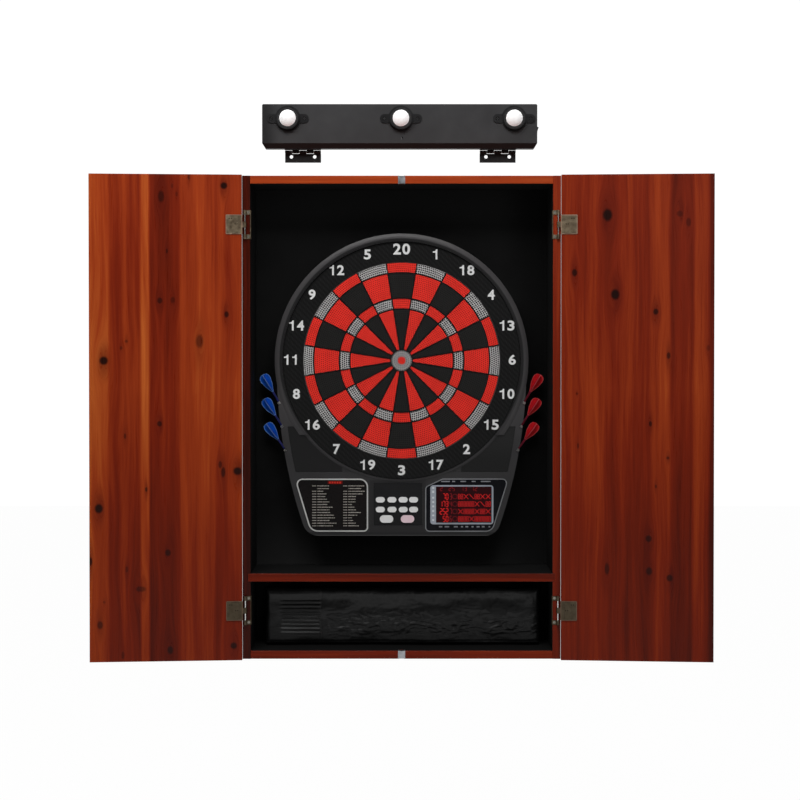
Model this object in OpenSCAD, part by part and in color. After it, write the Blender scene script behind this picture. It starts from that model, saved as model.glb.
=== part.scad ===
// Wall cabinet for an electronic dartboard, with two doors, a storage locker
// below the board and a separate hinged light bar above it.
// X runs to the right, Y into the wall and Z up. The wall plane is y = 0 and the
// origin is the centre of the four wall screws, which is also the case's centre.

/* [Case] */
// Outside width of the case
cab_w = 629; // [600:1:700]
// Outside height of the case
cab_h = 955; // [930:1:1050]
// Depth of the case from the wall to its front edges
cab_d = 140; // [130:1:180]
// Thickness of the pine boards
wood_t = 16; // [14:0.5:20]
// Thickness of the back panel
back_t = 5; // [4:0.5:8]
// Thickness of the hanging rails behind the back panel
rail_t = 12; // [10:1:16]
// Height of each hanging rail
rail_h = 60; // [50:1:80]
// Depth of the grooves that hold the back panel and the shelf
dado_d = 5; // [3:0.5:7]
// Clear height of the storage locker under the shelf
locker_h = 137; // [110:1:160]
// Rounding of the boards' outer edges
board_ease = 1.2; // [0.5:0.1:2.5]

/* [Wall screws] */
// Sideways spacing of the wall screws
wall_screw_x = 406.4; // [300:0.1:500]
// Diameter of the wall screw holes
wall_screw_d = 6; // [4:0.5:8]

/* [Doors] */
// Thickness of the doors
door_t = 16.5; // [14:0.5:20]
// How far each door reaches past the case at top and bottom
door_lap = 1.5; // [0:0.5:3]
// Gap between the closed doors' meeting edges
door_meet = 9; // [2:0.5:10]
// Angle that the doors stand open
door_open = 176; // [90:1:178]
// Diameter of the door knobs
knob_d = 28; // [20:1:34]
// How far the knobs stand out
knob_h = 25; // [18:1:30]
// Distance of the knobs from the meeting edge
knob_in = 26; // [22:1:60]

/* [Door hinges] */
// Height of each hinge's frame leaf
hinge_h = 56.5; // [50:0.1:70]
// Height of each hinge's door plate
plate_h = 38.5; // [30:0.5:44]
// Width of the door plate past the pin
plate_w = 37.5; // [32:0.5:45]
// Thickness of the hinge leaves
leaf_t = 1; // [0.8:0.1:1.2]
// Outside diameter of the hinge barrels
barrel_d = 6; // [5:0.1:6.6]
// Diameter of the hinge pins
pin_d = 2.6; // [2:0.1:3]
// Distance of the hinge centres from the case's top and bottom
hinge_in = 96.5; // [70:0.5:170]
// Distance of the pin axis inside the case's outer face
pin_in = 5.8; // [5:0.1:6.2]
// Distance of the pin axis in front of the case
pin_out = 3.75; // [3.5:0.05:4]
// Gap from the case's front edges to the closed door
door_gap = 2.6; // [2.5:0.1:3]

/* [Catches] */
// Width of each magnetic catch
catch_w = 14; // [10:0.5:20]
// Depth of each magnetic catch
catch_l = 12; // [8:0.5:16]

/* [Dartboard] */
// Height of the bull's centre above the case's centre
board_z = 112; // [100:1:130]
// Radius of the round upper part of the housing
board_r = 256; // [250:1:262]
// Distance from the bull down to the housing's bottom edge
board_drop = 354; // [350:1:360]
// Radius of the housing's bowed sides
side_r = 989; // [900:1:1020]
// Height of the widest point of the bowed sides below the bull
side_drop = 12; // [0:1:20]
// Half the width of the bowed sides at their widest
side_half = 251.8; // [250:0.1:255]
// Radius of the housing's bottom corners
corner_r = 32; // [26:1:38]
// Thickness of the whole board
board_t = 60; // [58:1:64]
// Depth of the front housing
front_d = 21; // [20:0.5:23]
// Wall of the moulded housings
shell_t = 3; // [2.5:0.1:3.5]
// Radius of the rear box behind the target
box_r = 212; // [210:1:214]
// Half the width of the rear box behind the electronics
box_half = 150; // [130:1:160]
// Margin from the rear box up from the housing's bottom edge
box_margin = 20; // [10:1:40]

/* [Target] */
// Radius of the inner bull
bull_in_r = 8; // [6:0.1:9]
// Radius of the outer bull
bull_out_r = 20.5; // [18:0.1:22]
// Inner radius of the triple ring
triple_r = 104.5; // [100:0.5:108]
// Outer radius of the triple ring
triple_out_r = 126; // [120:0.5:130]
// Inner radius of the double ring
double_r = 177.5; // [170:0.5:180]
// Outer radius of the double ring
target_r = 198; // [196:0.5:200]
// Thickness of the spider's webs
web_t = 2; // [1.4:0.1:2.6]
// Depth of the spider's webs
web_d = 15; // [13:0.5:16]
// Clearance round each segment
seg_fit = 0.3; // [0.2:0.05:0.5]
// Outer radius of the number ring
ring_r = 240; // [236:0.5:243]
// Thickness of the number ring
ring_t = 2; // [1:0.1:2.5]
// Thickness of the pressure-sensing membrane
membrane_t = 3; // [2.5:0.1:4]
// Travel of the bull when a dart hits it
bull_travel = 1.2; // [0.6:0.1:1.8]

/* [Keypad and panels] */
// Width of the keypad plate
keypad_w = 98; // [96:1:110]
// Height of the keypad plate
keypad_h = 86; // [80:1:92]
// Sideways shift of the keypad's centre
keypad_x = -7.5; // [-10:0.1:0]
// Distance of the keypad's top edge below the bull
keypad_drop = 247; // [245:0.5:250]
// Width of a small button
key_w = 18; // [14:0.5:19]
// Height of a small button
key_h = 11; // [9:0.5:13]
// Width of a large button
big_key_w = 27; // [20:0.5:30]
// Height of a large button
big_key_h = 15; // [12:0.5:17]
// Travel of the buttons
key_travel = 1.2; // [0.6:0.1:1.6]
// Distance of both side panels' top edges below the bull
panel_drop = 238; // [237:0.5:240]
// Height of the games panel and of the display window
panel_h = 108; // [100:1:110]
// Thickness of the games panel and of the display window
panel_t = 2; // [1.5:0.1:2.5]

/* [Darts] */
// Length of a dart from its point to the end of its flight
dart_l = 139; // [130:1:142]
// Length of the flight
flight_l = 40; // [32:1:44]
// Width of the flight across two wings
flight_w = 22; // [18:1:23]
// Diameter of the barrel
dart_barrel_d = 6.6; // [6:0.1:7]
// Length of the barrel
dart_barrel_l = 45; // [40:1:50]
// Clearance round the barrel in its holder
dart_fit = 0.35; // [0.3:0.05:0.6]

/* [Light bar] */
// Length of the light bar
bar_w = 562; // [500:1:620]
// Height of the light bar
bar_h = 89.6; // [80:0.1:100]
// Depth of the light bar
bar_d = 28; // [24:1:34]
// Gap from the top of the case up to the light bar
bar_gap = 68; // [60:0.5:90]
// Thickness of the light bar's sheet steel
sheet_t = 1.2; // [1:0.1:2]
// Spacing of the three lamps
lamp_pitch = 231; // [180:1:240]
// Radius of the lamps' bases
lamp_base_r = 26; // [20:0.5:28]
// Radius of the lenses
lens_r = 17; // [12:0.5:19]
// Width of each wall hinge
wall_leaf_w = 74; // [60:1:90]
// Distance from the wall hinge's pin down to its leaf's end
wall_leaf_h = 21.6; // [20:0.1:26]
// Spacing of the two screw holes in each wall leaf
wall_leaf_pitch = 48; // [40:0.5:54]
// Diameter of the screw holes in each wall leaf
wall_leaf_hole_d = 7.2; // [5:0.1:8]

/* [Storage bag] */
// Room left of the storage bag
bag_left = 24; // [14:1:60]
// Room right of the storage bag
bag_right = 20; // [14:1:60]
// Room above the storage bag
bag_head = 21; // [15:1:40]
// Depth of the storage bag
bag_d = 66; // [40:1:90]

/* [Hidden] */
$fn = 48;

// Small distance by which cutters pass the faces that they cut
eps = 0.5;
// Side clearance of a board in its groove
groove_fit = 0.2;
// Gap left where a piece only rests beside another
seat_gap = 0.3;

// Case
half_in = cab_w / 2 - wood_t;
top_z = cab_h / 2 - wood_t;
shelf_z = -top_z + locker_h;
back_w = 2 * half_in + 2 * (dado_d - groove_fit);
back_h = 2 * top_z + 2 * (dado_d - groove_fit);
back_front = rail_t + back_t;
rail_z = top_z - rail_h / 2;
ease_n = 6;

// Door hinges. Their knuckles run from the pin's ends to the plate's height
pin_x = cab_w / 2 - pin_in;
door_clear = 0.25;
door_set = pin_in + door_clear;
pin_y = -cab_d - pin_out;
hinge_z = cab_h / 2 - hinge_in;
pin_fit = 0.05;
pin_hole_d = pin_d + 2 * pin_fit;
knuckle_fit = 0.3;
door_inner = pin_out - door_gap;
door_w = pin_x - door_set - door_meet / 2;
door_h = cab_h + 2 * door_lap;
wrap_d = 14;
plate_end = 5;
plate_r = 2;
plate_rim_w = 1.5;
plate_rim_t = 0.4;
tongue_h = 11;
hinge_bar_h = (hinge_h - plate_h) / 2 - knuckle_fit;
cover_h = 3;
cover_w = 12;
cover_from = 13;
cover_rim = 2;
spring_t = 1.5;
hinge_screw_d = 2.6;
hinge_screw_head_d = 5.2;
hinge_screw_head_h = 1.4;
hinge_screw_l = 12;
frame_screw_x = pin_x - barrel_d / 2 - hinge_screw_head_d / 2 - 1;
frame_screw_z = hinge_h / 2 - hinge_bar_h / 2;
plate_screws = [[31, 11.5], [31, -11.5]];
knob_bolt_d = 4;
knob_bolt_l = 10;
knob_foot_r = knob_d * 0.32;
knob_foot_h = 3;
knob_neck_r = knob_d * 0.2;
knob_neck_h = knob_h * 0.7;
knob_crown = knob_d * 0.36;

// Dartboard layers, as distances from the wall
box_back = back_front;
board_face = box_back + board_t;
rim_h = 3;
face_w = board_face - rim_h;
front_back = board_face - front_d;
web_front = front_back + web_d;
seg_front = web_front - 0.6;
rear_plate_back = front_back - membrane_t;
backing_t = 3;
ring_step = 1;
backing_back = rear_plate_back - backing_t;
floor_front = web_front - ring_step;
floor_back = floor_front - shell_t;
ring_front = floor_front + ring_t;
lip_w = 1.4;
lip_r = target_r + lip_w;
floor_r = lip_r + 0.3;
flange_r = lip_r + 7;
rim_in_r = ring_r + 0.3;
rim_wall = 4;
ring_lip_h = 1;
rim_drop = (pow(board_r - rim_in_r - rim_wall, 2) - pow(rim_h, 2)) / (2 * rim_h);
rim_end_z = -150;
rim_fade = 2;
rear_inset = 1.5;
side_x = side_half - side_r;
membrane_r = flange_r - 0.4;
rib_r = 90;
box_drop = board_drop - box_margin;
box_corner = 20;
recess_inset = 14;
recess_top = -133;
recess_foot = -225;
recess_r = rim_in_r + rim_wall + 2;
recess_d = 1.5;

// Keypad, games panel and display window
panel_fit = 0.3;
plate_t = 1.5;
plate_in = 0.5;
plate_front = face_w - plate_in;
plate_back = plate_front - plate_t;
keypad_mid = -keypad_drop - keypad_h / 2;
keypad_r = 2;
key_fit = 0.3;
key_out = 2;
key_front = plate_front + key_out;
key_lip = 1.2;
key_lip_t = 2;
key_wall_t = 3.6;
key_seat = face_w - key_wall_t;
key_x = [-35.5, -12, 10.7, 31.6];
key_row_drop = [34.2, 54];
big_key_x = [-22.8, 19.4];
big_key_drop = 73.1;
pcb_t = 1.6;
pcb_front = key_seat - key_lip_t - key_travel - seat_gap;
pcb_back = pcb_front - pcb_t;
pcb_w = 246;
pcb_x = 64;
pcb_h = 86;
chip_w = 22;
chip_h = 14;
chip_t = 2.5;
chip_pitch = 45;
chip_shift = -40;
panel_out = 0.6;
panel_front = face_w + panel_out;
panel_back = panel_front - panel_t;
games_r = [12, 17, 9, 20];
window_r = [9, 12, 10, 18, 9];
games_in = 67.3;
games_out = 216.6;
games_foot = 184.3;
window_in = 47.4;
window_out = 216.8;
window_foot = 183.7;
window_chamfer = [35, 16.5];
module_w = 127;
module_h = 77;
module_x = 121;
module_z = -290.7;
module_front = panel_back;

// Darts, measured from the collar that stops each barrel at its holder
dart_out = 25;
dart_w = box_back + dart_out;
collar_x = 247.6;
collar_z = [-88.6, -136.3, -184.5];
collar_in = [0, 5.7, 12.6];
dart_lean = [31, 33.3, 36];
collar_l = 5;
collar_d = dart_barrel_d + 1.6;
point_l = 25;
point_tip_d = 1.2;
point_d = 2.2;
barrel_nose_d = 4;
barrel_taper = 4;
collar_taper = 1;
tail_d = 2;
shaft_d = 4.2;
shaft_l = dart_l - point_l - dart_barrel_l - flight_l - collar_l;
tail_l = flight_l * 0.8;
sleeve_d = dart_barrel_d + 2 * dart_fit + 4;
sleeve_l = 20;
sleeve_gap = 0.3;
sleeve_web = 5;
holder_t = 3;
foot_out = 4;
foot_w = 21;
dart_travel = 8;
flight_t = 0.9;
notch_w = collar_d + 1;
notch_l = 24;
notch_back = 0.6;

// Light bar. Its hinge axis lies along the foot of the bar's back edge
bar_z = cab_h / 2 + bar_gap;
bar_top = bar_z + bar_h;
bar_x = -3.9;
lamp_x = -1.3;
leaf_x = -2.6;
sensor_x = 1.8;
bar_back = 2;
bar_face = bar_back + bar_d;
lip_h = 10;
lip_in = 9;
bar_foot_cut = [6, 10];
bar_top_cut = 2;
fold_ease = 0.5;
wiring_hole_r = lens_r * 0.6;
lamp_rise = 60;
lamp_z = bar_z + lamp_rise;
lamp_base_t = 10;
lamp_foot_t = 2;
lamp_foot_w = 3;
ear_x = 34;
ear_r = 9;
ear_tab = ear_x - lamp_base_r + 6;
ear_hole_d = 3.5;
lens_out = 7;
lens_fit = 0.2;
axis_w = 4.5;
axis_drop = 5;
axis_z = bar_z - axis_drop;
wall_barrel_d = 6;
wall_pin_d = 3;
wall_leaf_t = 1.5;
wall_hinge_x = 200.5;
wall_hole_drop = 9.6;
bar_leaf_l = 16;
knuckle_n = 5;
knuckle_l = wall_leaf_w / knuckle_n - 2 * knuckle_fit;
knuckle_tab = 1.4;
switch_h = 20;
switch_w = 13;
switch_out = 3.5;
switch_rise = 35.5;
switch_z = bar_z + switch_rise;
switch_axis_w = bar_back + bar_d / 2;
switch_depth = 6;
switch_taper = 1;
sensor_hole_d = 5;
sensor_rise = 21;

// Magnetic catches
pole_t = 2.4;
pole_in = 0.5;
catch_fit = 0.1;

// Storage bag
bag_back = back_front + 9;
bag_x = (bag_left - bag_right) / 2;
bag_w = 2 * half_in - bag_left - bag_right;
bag_h = locker_h - bag_head;
bag_r = 12;

pine = [0.55, 0.22, 0.12];
black = [0.05, 0.05, 0.05];
dark_grey = [0.2, 0.2, 0.2];
nickel = [0.55, 0.53, 0.48];
red = [0.8, 0.17, 0.15];
mid_grey = [0.45, 0.43, 0.41];
white = [0.95, 0.95, 0.95];
blue = [0.1, 0.4, 0.85];

// ---------- shared shapes ----------

// Draws a shape of X and Z as a slab between two distances from the wall
module slab(from, to) {
    translate([0, -from, 0]) rotate([90, 0, 0]) linear_extrude(to - from) children();
}

module rounded_rect(w, h, r) {
    square([w - 2 * r, h], center = true);
    square([w, h - 2 * r], center = true);
    for (sx = [-1, 1], sz = [-1, 1])
        translate([sx * (w / 2 - r), sz * (h / 2 - r)]) circle(r);
}

// Stadium of overall width w and height h
module stadium(w, h) {
    square([w - h, h], center = true);
    for (s = [-1, 1]) translate([s * (w - h) / 2, 0]) circle(d = h);
}

function unit(v) = v / norm(v);
function corner_arc(p, a, b, r, n) =
    let (u = unit(a - p), v = unit(b - p),
         half = acos(u * v) / 2,
         c = p + unit(u + v) * r / sin(half),
         s = p + u * r / tan(half) - c,
         e = p + v * r / tan(half) - c,
         turn = 180 - 2 * half,
         side = sign(s[0] * e[1] - s[1] * e[0]))
    [for (i = [0:n]) let (t = side * turn * i / n)
        c + [s[0] * cos(t) - s[1] * sin(t), s[0] * sin(t) + s[1] * cos(t)]];
// Outline through the points, each corner rounded to its own radius
function round_corners(pts, r, n = ease_n) =
    let (m = len(pts))
    [for (i = [0:m - 1]) each corner_arc(pts[i], pts[(i + m - 1) % m], pts[(i + 1) % m], r[i], n)];

module on_both_sides() {
    children();
    mirror([1, 0, 0]) children();
}

module at_hinges() {
    for (s = [-1, 1]) translate([0, 0, s * hinge_z]) children();
}

// ---------- case ----------

// Groove for the back panel, running all round inside the case
module back_groove() {
    translate([-back_w / 2 - groove_fit, -back_front, -back_h / 2 - groove_fit])
        cube([back_w + 2 * groove_fit, back_t, back_h + 2 * groove_fit]);
}

module side_board() {
    difference() {
        translate([(cab_w - wood_t) / 2, -cab_d / 2, -cab_h / 2]) linear_extrude(cab_h)
            rounded_rect(wood_t, cab_d, board_ease);
        back_groove();
        translate([0, -cab_d - eps, shelf_z])
            cube([half_in + dado_d, cab_d - back_front + eps, wood_t]);
        frame_screws_right();
    }
}

module side_left() {
    color(pine) mirror([1, 0, 0]) side_board();
}

module side_right() {
    color(pine) side_board();
}

// Board between the sides, with its front edges eased
module cross_board(z, length) {
    translate([-length / 2, 0, z]) rotate([90, 0, 90]) linear_extrude(length)
        translate([-cab_d / 2, wood_t / 2]) rounded_rect(cab_d, wood_t, board_ease);
}

module end_board() {
    difference() {
        cross_board(top_z, 2 * half_in);
        back_groove();
        translate([-catch_w / 2 - catch_fit, -cab_d - eps, top_z - eps])
            cube([catch_w + 2 * catch_fit, catch_l + eps, wood_t + 2 * eps]);
    }
}

module top_panel() {
    color(pine) end_board();
}

module bottom_panel() {
    color(pine) mirror([0, 0, 1]) end_board();
}

module divider_shelf() {
    color(pine) difference() {
        cross_board(shelf_z, 2 * (half_in + dado_d - groove_fit));
        translate([-cab_w / 2, -back_front, shelf_z - eps]) cube([cab_w, back_front + eps, wood_t + 2 * eps]);
    }
}

module wall_screw_holes() {
    for (sx = [-1, 1], sz = [-1, 1])
        translate([sx * wall_screw_x / 2, eps, sz * rail_z])
            rotate([90, 0, 0]) cylinder(d = wall_screw_d, h = rail_t + 2 * eps);
}

module back_panel() {
    color(black) slab(rail_t, back_front) square([back_w, back_h], center = true);
}

module hanging_rails() {
    color(pine) difference() {
        for (s = [-1, 1]) slab(0, rail_t)
            translate([0, s * rail_z]) square([2 * half_in, rail_h], center = true);
        wall_screw_holes();
    }
}

// Twin steel poles with a magnet held between them, let into the board's edge
module magnetic_catches() {
    color(mid_grey) for (s = [-1, 1])
        translate([0, -cab_d + catch_l / 2, s * (cab_h - wood_t) / 2]) {
            cube([catch_w - 2 * pole_t, catch_l - 2 * pole_in, wood_t - 2 * pole_in], center = true);
            for (side = [-1, 1]) translate([side * (catch_w - pole_t) / 2, 0, 0])
                cube([pole_t, catch_l, wood_t], center = true);
        }
}

// ---------- door hinges ----------

// Frame leaf for the right side: an open frame on the case's front edge, a lip
// that wraps the board's inner corner, and a knuckle at each end of the pin
module frame_leaf() {
    for (s = [0, 1]) mirror([0, 0, s]) translate([0, 0, hinge_h / 2 - hinge_bar_h]) {
        difference() {
            union() {
                translate([half_in - leaf_t, -cab_d - leaf_t, 0])
                    cube([pin_x - half_in + leaf_t, leaf_t, hinge_bar_h]);
                translate([pin_x, pin_y, 0]) cylinder(d = barrel_d, h = hinge_bar_h);
            }
            translate([pin_x, pin_y, -eps]) cylinder(d = pin_d, h = hinge_bar_h + 2 * eps);
            translate([frame_screw_x, -cab_d - leaf_t, hinge_bar_h / 2]) rotate([-90, 0, 0]) hinge_screw();
        }
    }
    translate([half_in - leaf_t, -cab_d - leaf_t, -hinge_h / 2]) cube([leaf_t, leaf_t + wrap_d, hinge_h]);
}

module hinge_frame_leaves() {
    color(nickel) on_both_sides() at_hinges() frame_leaf();
}

// Turns a door part, drawn closed about the right-hand pin, to where it stands
module at_right_door() {
    translate([pin_x, pin_y, 0]) rotate([0, 0, door_open]) children();
}

module at_left_door() {
    mirror([1, 0, 0]) at_right_door() children();
}

// Raises a shape of X and Z from the door's inner face by t
module plate_slab(t) {
    translate([0, door_inner + t, 0]) rotate([90, 0, 0]) linear_extrude(t) children();
}

module plate_outline(d) {
    translate([-(plate_w + plate_end) / 2, 0])
        rounded_rect(plate_w - plate_end - 2 * d, plate_h - 2 * d, plate_r - d);
}

// Door plate, drawn closed with the pin on the Z axis: the plate with its rim,
// the tongue and knuckle at mid height, and the raised cover over the closing spring
module door_plate() {
    difference() {
        union() {
            plate_slab(leaf_t) plate_outline(0);
            plate_slab(leaf_t + plate_rim_t) difference() {
                plate_outline(0);
                plate_outline(plate_rim_w);
            }
            translate([-plate_end - plate_r, door_inner, -tongue_h / 2])
                cube([plate_end + plate_r, leaf_t, tongue_h]);
            translate([0, 0, -tongue_h / 2]) cylinder(d = barrel_d, h = tongue_h);
            translate([-cover_from - cover_w, door_inner, -plate_h / 2 + cover_rim])
                cube([cover_w, cover_h, plate_h - 2 * cover_rim]);
        }
        translate([0, 0, -tongue_h / 2 - eps]) cylinder(d = pin_hole_d, h = tongue_h + 2 * eps);
        translate([-cover_from - cover_w + leaf_t, door_inner - eps, -plate_h / 2 + cover_rim + leaf_t])
            cube([cover_w - 2 * leaf_t, cover_h - leaf_t + eps, plate_h - 2 * cover_rim - 2 * leaf_t]);
        plate_screw_set();
    }
}

// Leaf spring under the cover, which pulls the door shut
module closing_spring() {
    w = cover_w - 2 * leaf_t - 2 * seat_gap;
    h = plate_h - 2 * cover_rim - 2 * leaf_t - 2 * seat_gap;
    t = cover_h - leaf_t - seat_gap;
    translate([-cover_from - cover_w / 2, door_inner, 0]) difference() {
        translate([-w / 2, 0, -h / 2]) cube([w, t, h]);
        translate([-w / 2 + spring_t, -eps, -h / 2 + spring_t])
            cube([w - 2 * spring_t, t + 2 * eps, h - 2 * spring_t]);
    }
}

module hinge_plates() {
    color(nickel) at_hinges() {
        door_plate();
        closing_spring();
    }
}

module hinge_plates_left() {
    at_left_door() hinge_plates();
}

module hinge_plates_right() {
    at_right_door() hinge_plates();
}

module hinge_pins() {
    color(nickel) {
        on_both_sides() at_hinges() translate([pin_x, pin_y, -hinge_h / 2])
            cylinder(d = pin_d, h = hinge_h);
        for (s = [-1, 1]) translate([leaf_x + s * wall_hinge_x - wall_leaf_w / 2, -axis_w, axis_z])
            rotate([0, 90, 0]) cylinder(d = wall_pin_d, h = wall_leaf_w);
    }
}

// Countersunk screw along +Z, its head flush with the origin
module hinge_screw() {
    cylinder(d1 = hinge_screw_head_d, d2 = hinge_screw_d, h = hinge_screw_head_h);
    cylinder(d = hinge_screw_d, h = hinge_screw_l);
}

module frame_screws_right() {
    at_hinges() for (s = [-1, 1])
        translate([frame_screw_x, -cab_d - leaf_t, s * frame_screw_z]) rotate([-90, 0, 0]) hinge_screw();
}

module frame_hinge_screws() {
    color(nickel) on_both_sides() frame_screws_right();
}

module plate_screw_set() {
    for (p = plate_screws) translate([-p[0], door_inner + leaf_t, p[1]])
        rotate([90, 0, 0]) hinge_screw();
}

module door_screws() {
    color(nickel) at_hinges() plate_screw_set();
}

module door_screws_left() {
    at_left_door() door_screws();
}

module door_screws_right() {
    at_right_door() door_screws();
}

// ---------- doors ----------

// Door, drawn closed about its pin, with the knob's bolt hole
module door() {
    color(pine) difference() {
        translate([-door_set - door_w / 2, door_inner - door_t / 2, -door_h / 2])
            linear_extrude(door_h) rounded_rect(door_w, door_t, board_ease);
        at_hinges() plate_screw_set();
        translate([-door_set - door_w + knob_in, door_inner - door_t, 0]) rotate([-90, 0, 0])
            cylinder(d = knob_bolt_d, h = knob_bolt_l);
    }
}

module door_left() {
    at_left_door() door();
}

module door_right() {
    at_right_door() door();
}

// Turned knob on the outside of the door, with its bolt
module knob() {
    color(nickel) translate([-door_set - door_w + knob_in, door_inner - door_t, 0]) rotate([90, 0, 0]) {
        rotate_extrude() {
            square([knob_foot_r, knob_foot_h]);
            square([knob_neck_r, knob_neck_h]);
            intersection() {
                translate([0, knob_h - knob_crown]) circle(d = knob_d);
                translate([0, knob_h / 2]) square([knob_d, knob_h / 2]);
            }
        }
        translate([0, 0, -knob_bolt_l]) cylinder(d = knob_bolt_d, h = knob_bolt_l);
    }
}

module knob_left() {
    at_left_door() knob();
}

module knob_right() {
    at_right_door() knob();
}

// ---------- dartboard ----------

// Moves dartboard parts, drawn about the bull, to the board's height
module at_bull() {
    translate([0, 0, board_z]) children();
}

// The lower housing: bowed sides, a flat bottom and rounded corners, moved in by d
module lower_outline(d) {
    corner_z = -board_drop + corner_r;
    corner_rise = -side_drop - corner_z;
    corner_x = side_x + sqrt(pow(side_r - corner_r, 2) - pow(corner_rise, 2));
    tangent_z = -side_drop - corner_rise * side_r / (side_r - corner_r);
    intersection() {
        side_disc(d, 1);
        side_disc(d, -1);
        translate([-board_r, tangent_z]) square([2 * board_r, -tangent_z - side_drop]);
    }
    translate([-corner_x, -board_drop + d]) square([2 * corner_x, corner_r]);
    for (s = [-1, 1]) translate([s * corner_x, corner_z]) circle(r = corner_r - d, $fn = 64);
}

module side_disc(d, s) {
    translate([s * side_x, -side_drop]) circle(r = side_r - d, $fn = 360);
}

module board_outline(d) {
    circle(r = board_r - d, $fn = 180);
    lower_outline(d);
}

// Outline of the deep rear box behind the target and the electronics
module box_outline(d) {
    circle(r = box_r - d, $fn = 120);
    translate([0, -box_drop / 2]) rounded_rect(2 * (box_half - d), box_drop - 2 * d, box_corner - d);
}

// Notches in the board's edge, where the darts' collars show. Each is moved out by d
module dart_notches(d) {
    for (s = [-1, 1], i = [0:2])
        translate([s * (collar_x - collar_in[i]), collar_z[i]]) rotate(-s * dart_lean[i])
            translate([0, notch_l / 2 - notch_back])
                square([notch_w + 2 * d, notch_l + 2 * d], center = true);
}

module board_rear_housing() {
    color(black) at_bull() {
        difference() {
            slab(box_back, front_back) box_outline(0);
            slab(box_back + shell_t, front_back + eps) box_outline(shell_t);
        }
        slab(rear_plate_back, front_back) difference() {
            board_outline(rear_inset);
            box_outline(shell_t);
            dart_notches(0);
        }
        // Ribs that carry the backing board
        slab(box_back + shell_t, backing_back) {
            difference() {
                circle(r = rib_r + web_t / 2);
                circle(r = rib_r - web_t / 2);
            }
            for (a = [0:60:120]) rotate(a + 30) difference() {
                square([2 * box_r - shell_t, web_t], center = true);
                circle(r = rib_r);
            }
        }
    }
}

// Recess beside the number ring, s is 1 on the right and -1 on the left
module corner_recess(s) {
    difference() {
        intersection() {
            lower_outline(recess_inset);
            translate([s > 0 ? 0 : -board_r, recess_foot]) square([board_r, recess_top - recess_foot]);
        }
        circle(r = recess_r, $fn = 120);
    }
}

games_pts = [[-games_out, -panel_drop], [-games_in, -panel_drop],
             [-games_in, -panel_drop - panel_h], [-games_foot, -panel_drop - panel_h]];
window_pts = [[window_in, -panel_drop - window_chamfer[1]], [window_in + window_chamfer[0], -panel_drop],
              [window_out, -panel_drop], [window_foot, -panel_drop - panel_h],
              [window_in, -panel_drop - panel_h]];

module board_front_housing() {
    color(dark_grey) at_bull() difference() {
        union() {
            difference() {
                slab(front_back, face_w) board_outline(0);
                slab(front_back - eps, face_w - shell_t) board_outline(shell_t);
            }
            // Wall and floor that carry the number ring
            slab(floor_back, face_w) circle(r = rim_in_r + rim_wall, $fn = 180);
            slab(face_w - shell_t, face_w + ring_lip_h) circle(r = rim_in_r + rim_wall, $fn = 180);
            raised_rim();
            key_box();
            slab(front_back, face_w) intersection() {
                board_outline(0);
                dart_notches(shell_t);
            }
        }
        slab(front_back - eps, board_face + eps) dart_notches(0);
        slab(front_back - eps, board_face + eps) circle(r = floor_r, $fn = 180);
        slab(floor_front, board_face + eps) circle(r = rim_in_r, $fn = 180);
        for (s = [-1, 1]) slab(face_w - recess_d, face_w + eps) corner_recess(s);
        slab(plate_back, face_w + eps) translate([keypad_x, keypad_mid])
            square([keypad_w + 2 * panel_fit, keypad_h + 2 * panel_fit], center = true);
        slab(panel_back, face_w + eps) polygon(round_corners(games_pts, games_r));
        slab(panel_back, face_w + eps) polygon(round_corners(window_pts, window_r));
        slab(floor_back, face_w + eps) translate([module_x, module_z])
            square([module_w + 2 * panel_fit, module_h + 2 * panel_fit], center = true);
        slab(pcb_front - eps, face_w) all_keys(key_fit);
        slab(pcb_front - eps, key_seat + key_fit) all_keys(key_fit + key_lip);
    }
}

// Crowned rim round the upper board, which fades out towards the lower housing
module raised_rim() {
    intersection() {
        translate([0, -face_w, 0]) rotate([90, 0, 0]) rotate_extrude($fn = 180) rim_section();
        translate([-board_r, -face_w, rim_end_z]) rotate([-rim_fade, 0, 0])
            translate([0, -board_r, 0]) cube(2 * board_r);
    }
}

// Section of the raised rim, in radius and height above the face
module rim_section() {
    intersection() {
        translate([rim_in_r + rim_wall, -rim_drop]) circle(r = rim_h + rim_drop, $fn = 96);
        translate([rim_in_r, 0]) square([board_r - rim_in_r, rim_h]);
    }
}

// Thick part behind the face, whose slots guide the keys
module key_box() {
    slab(pcb_front, face_w) translate([keypad_x, keypad_mid])
        square([keypad_w, keypad_h], center = true);
}

module number_ring() {
    color(black) at_bull() slab(floor_front, ring_front) difference() {
        circle(r = ring_r, $fn = 180);
        circle(r = floor_r, $fn = 180);
    }
}

module annulus(r_in, r_out) {
    difference() {
        circle(r = r_out, $fn = 180);
        circle(r = r_in, $fn = 180);
    }
}

// Bars along the twenty lines between the numbers
module sector_bars(w, r_out) {
    for (i = [0:19]) rotate(9 + 18 * i) translate([0, -w / 2]) square([r_out, w]);
}

module spider() {
    color(black) at_bull() {
        slab(front_back, web_front) {
            annulus(bull_out_r + seg_fit, bull_out_r + seg_fit + web_t);
            for (r = [triple_r, triple_out_r, double_r]) annulus(r - web_t / 2, r + web_t / 2);
            annulus(target_r, lip_r);
            difference() {
                sector_bars(web_t, target_r + lip_w / 2);
                circle(r = bull_out_r + seg_fit + web_t / 2);
            }
        }
        slab(front_back, floor_back) annulus(lip_r, flange_r);
    }
}

// Ten of the twenty sectors: parity 0 starts with the one at the top
module ten_sectors(parity, r) {
    for (i = [0:9]) rotate(90 + 18 * (2 * i + parity))
        polygon([[0, 0], [r, -r * tan(9)], [r, r * tan(9)]]);
}

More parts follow.
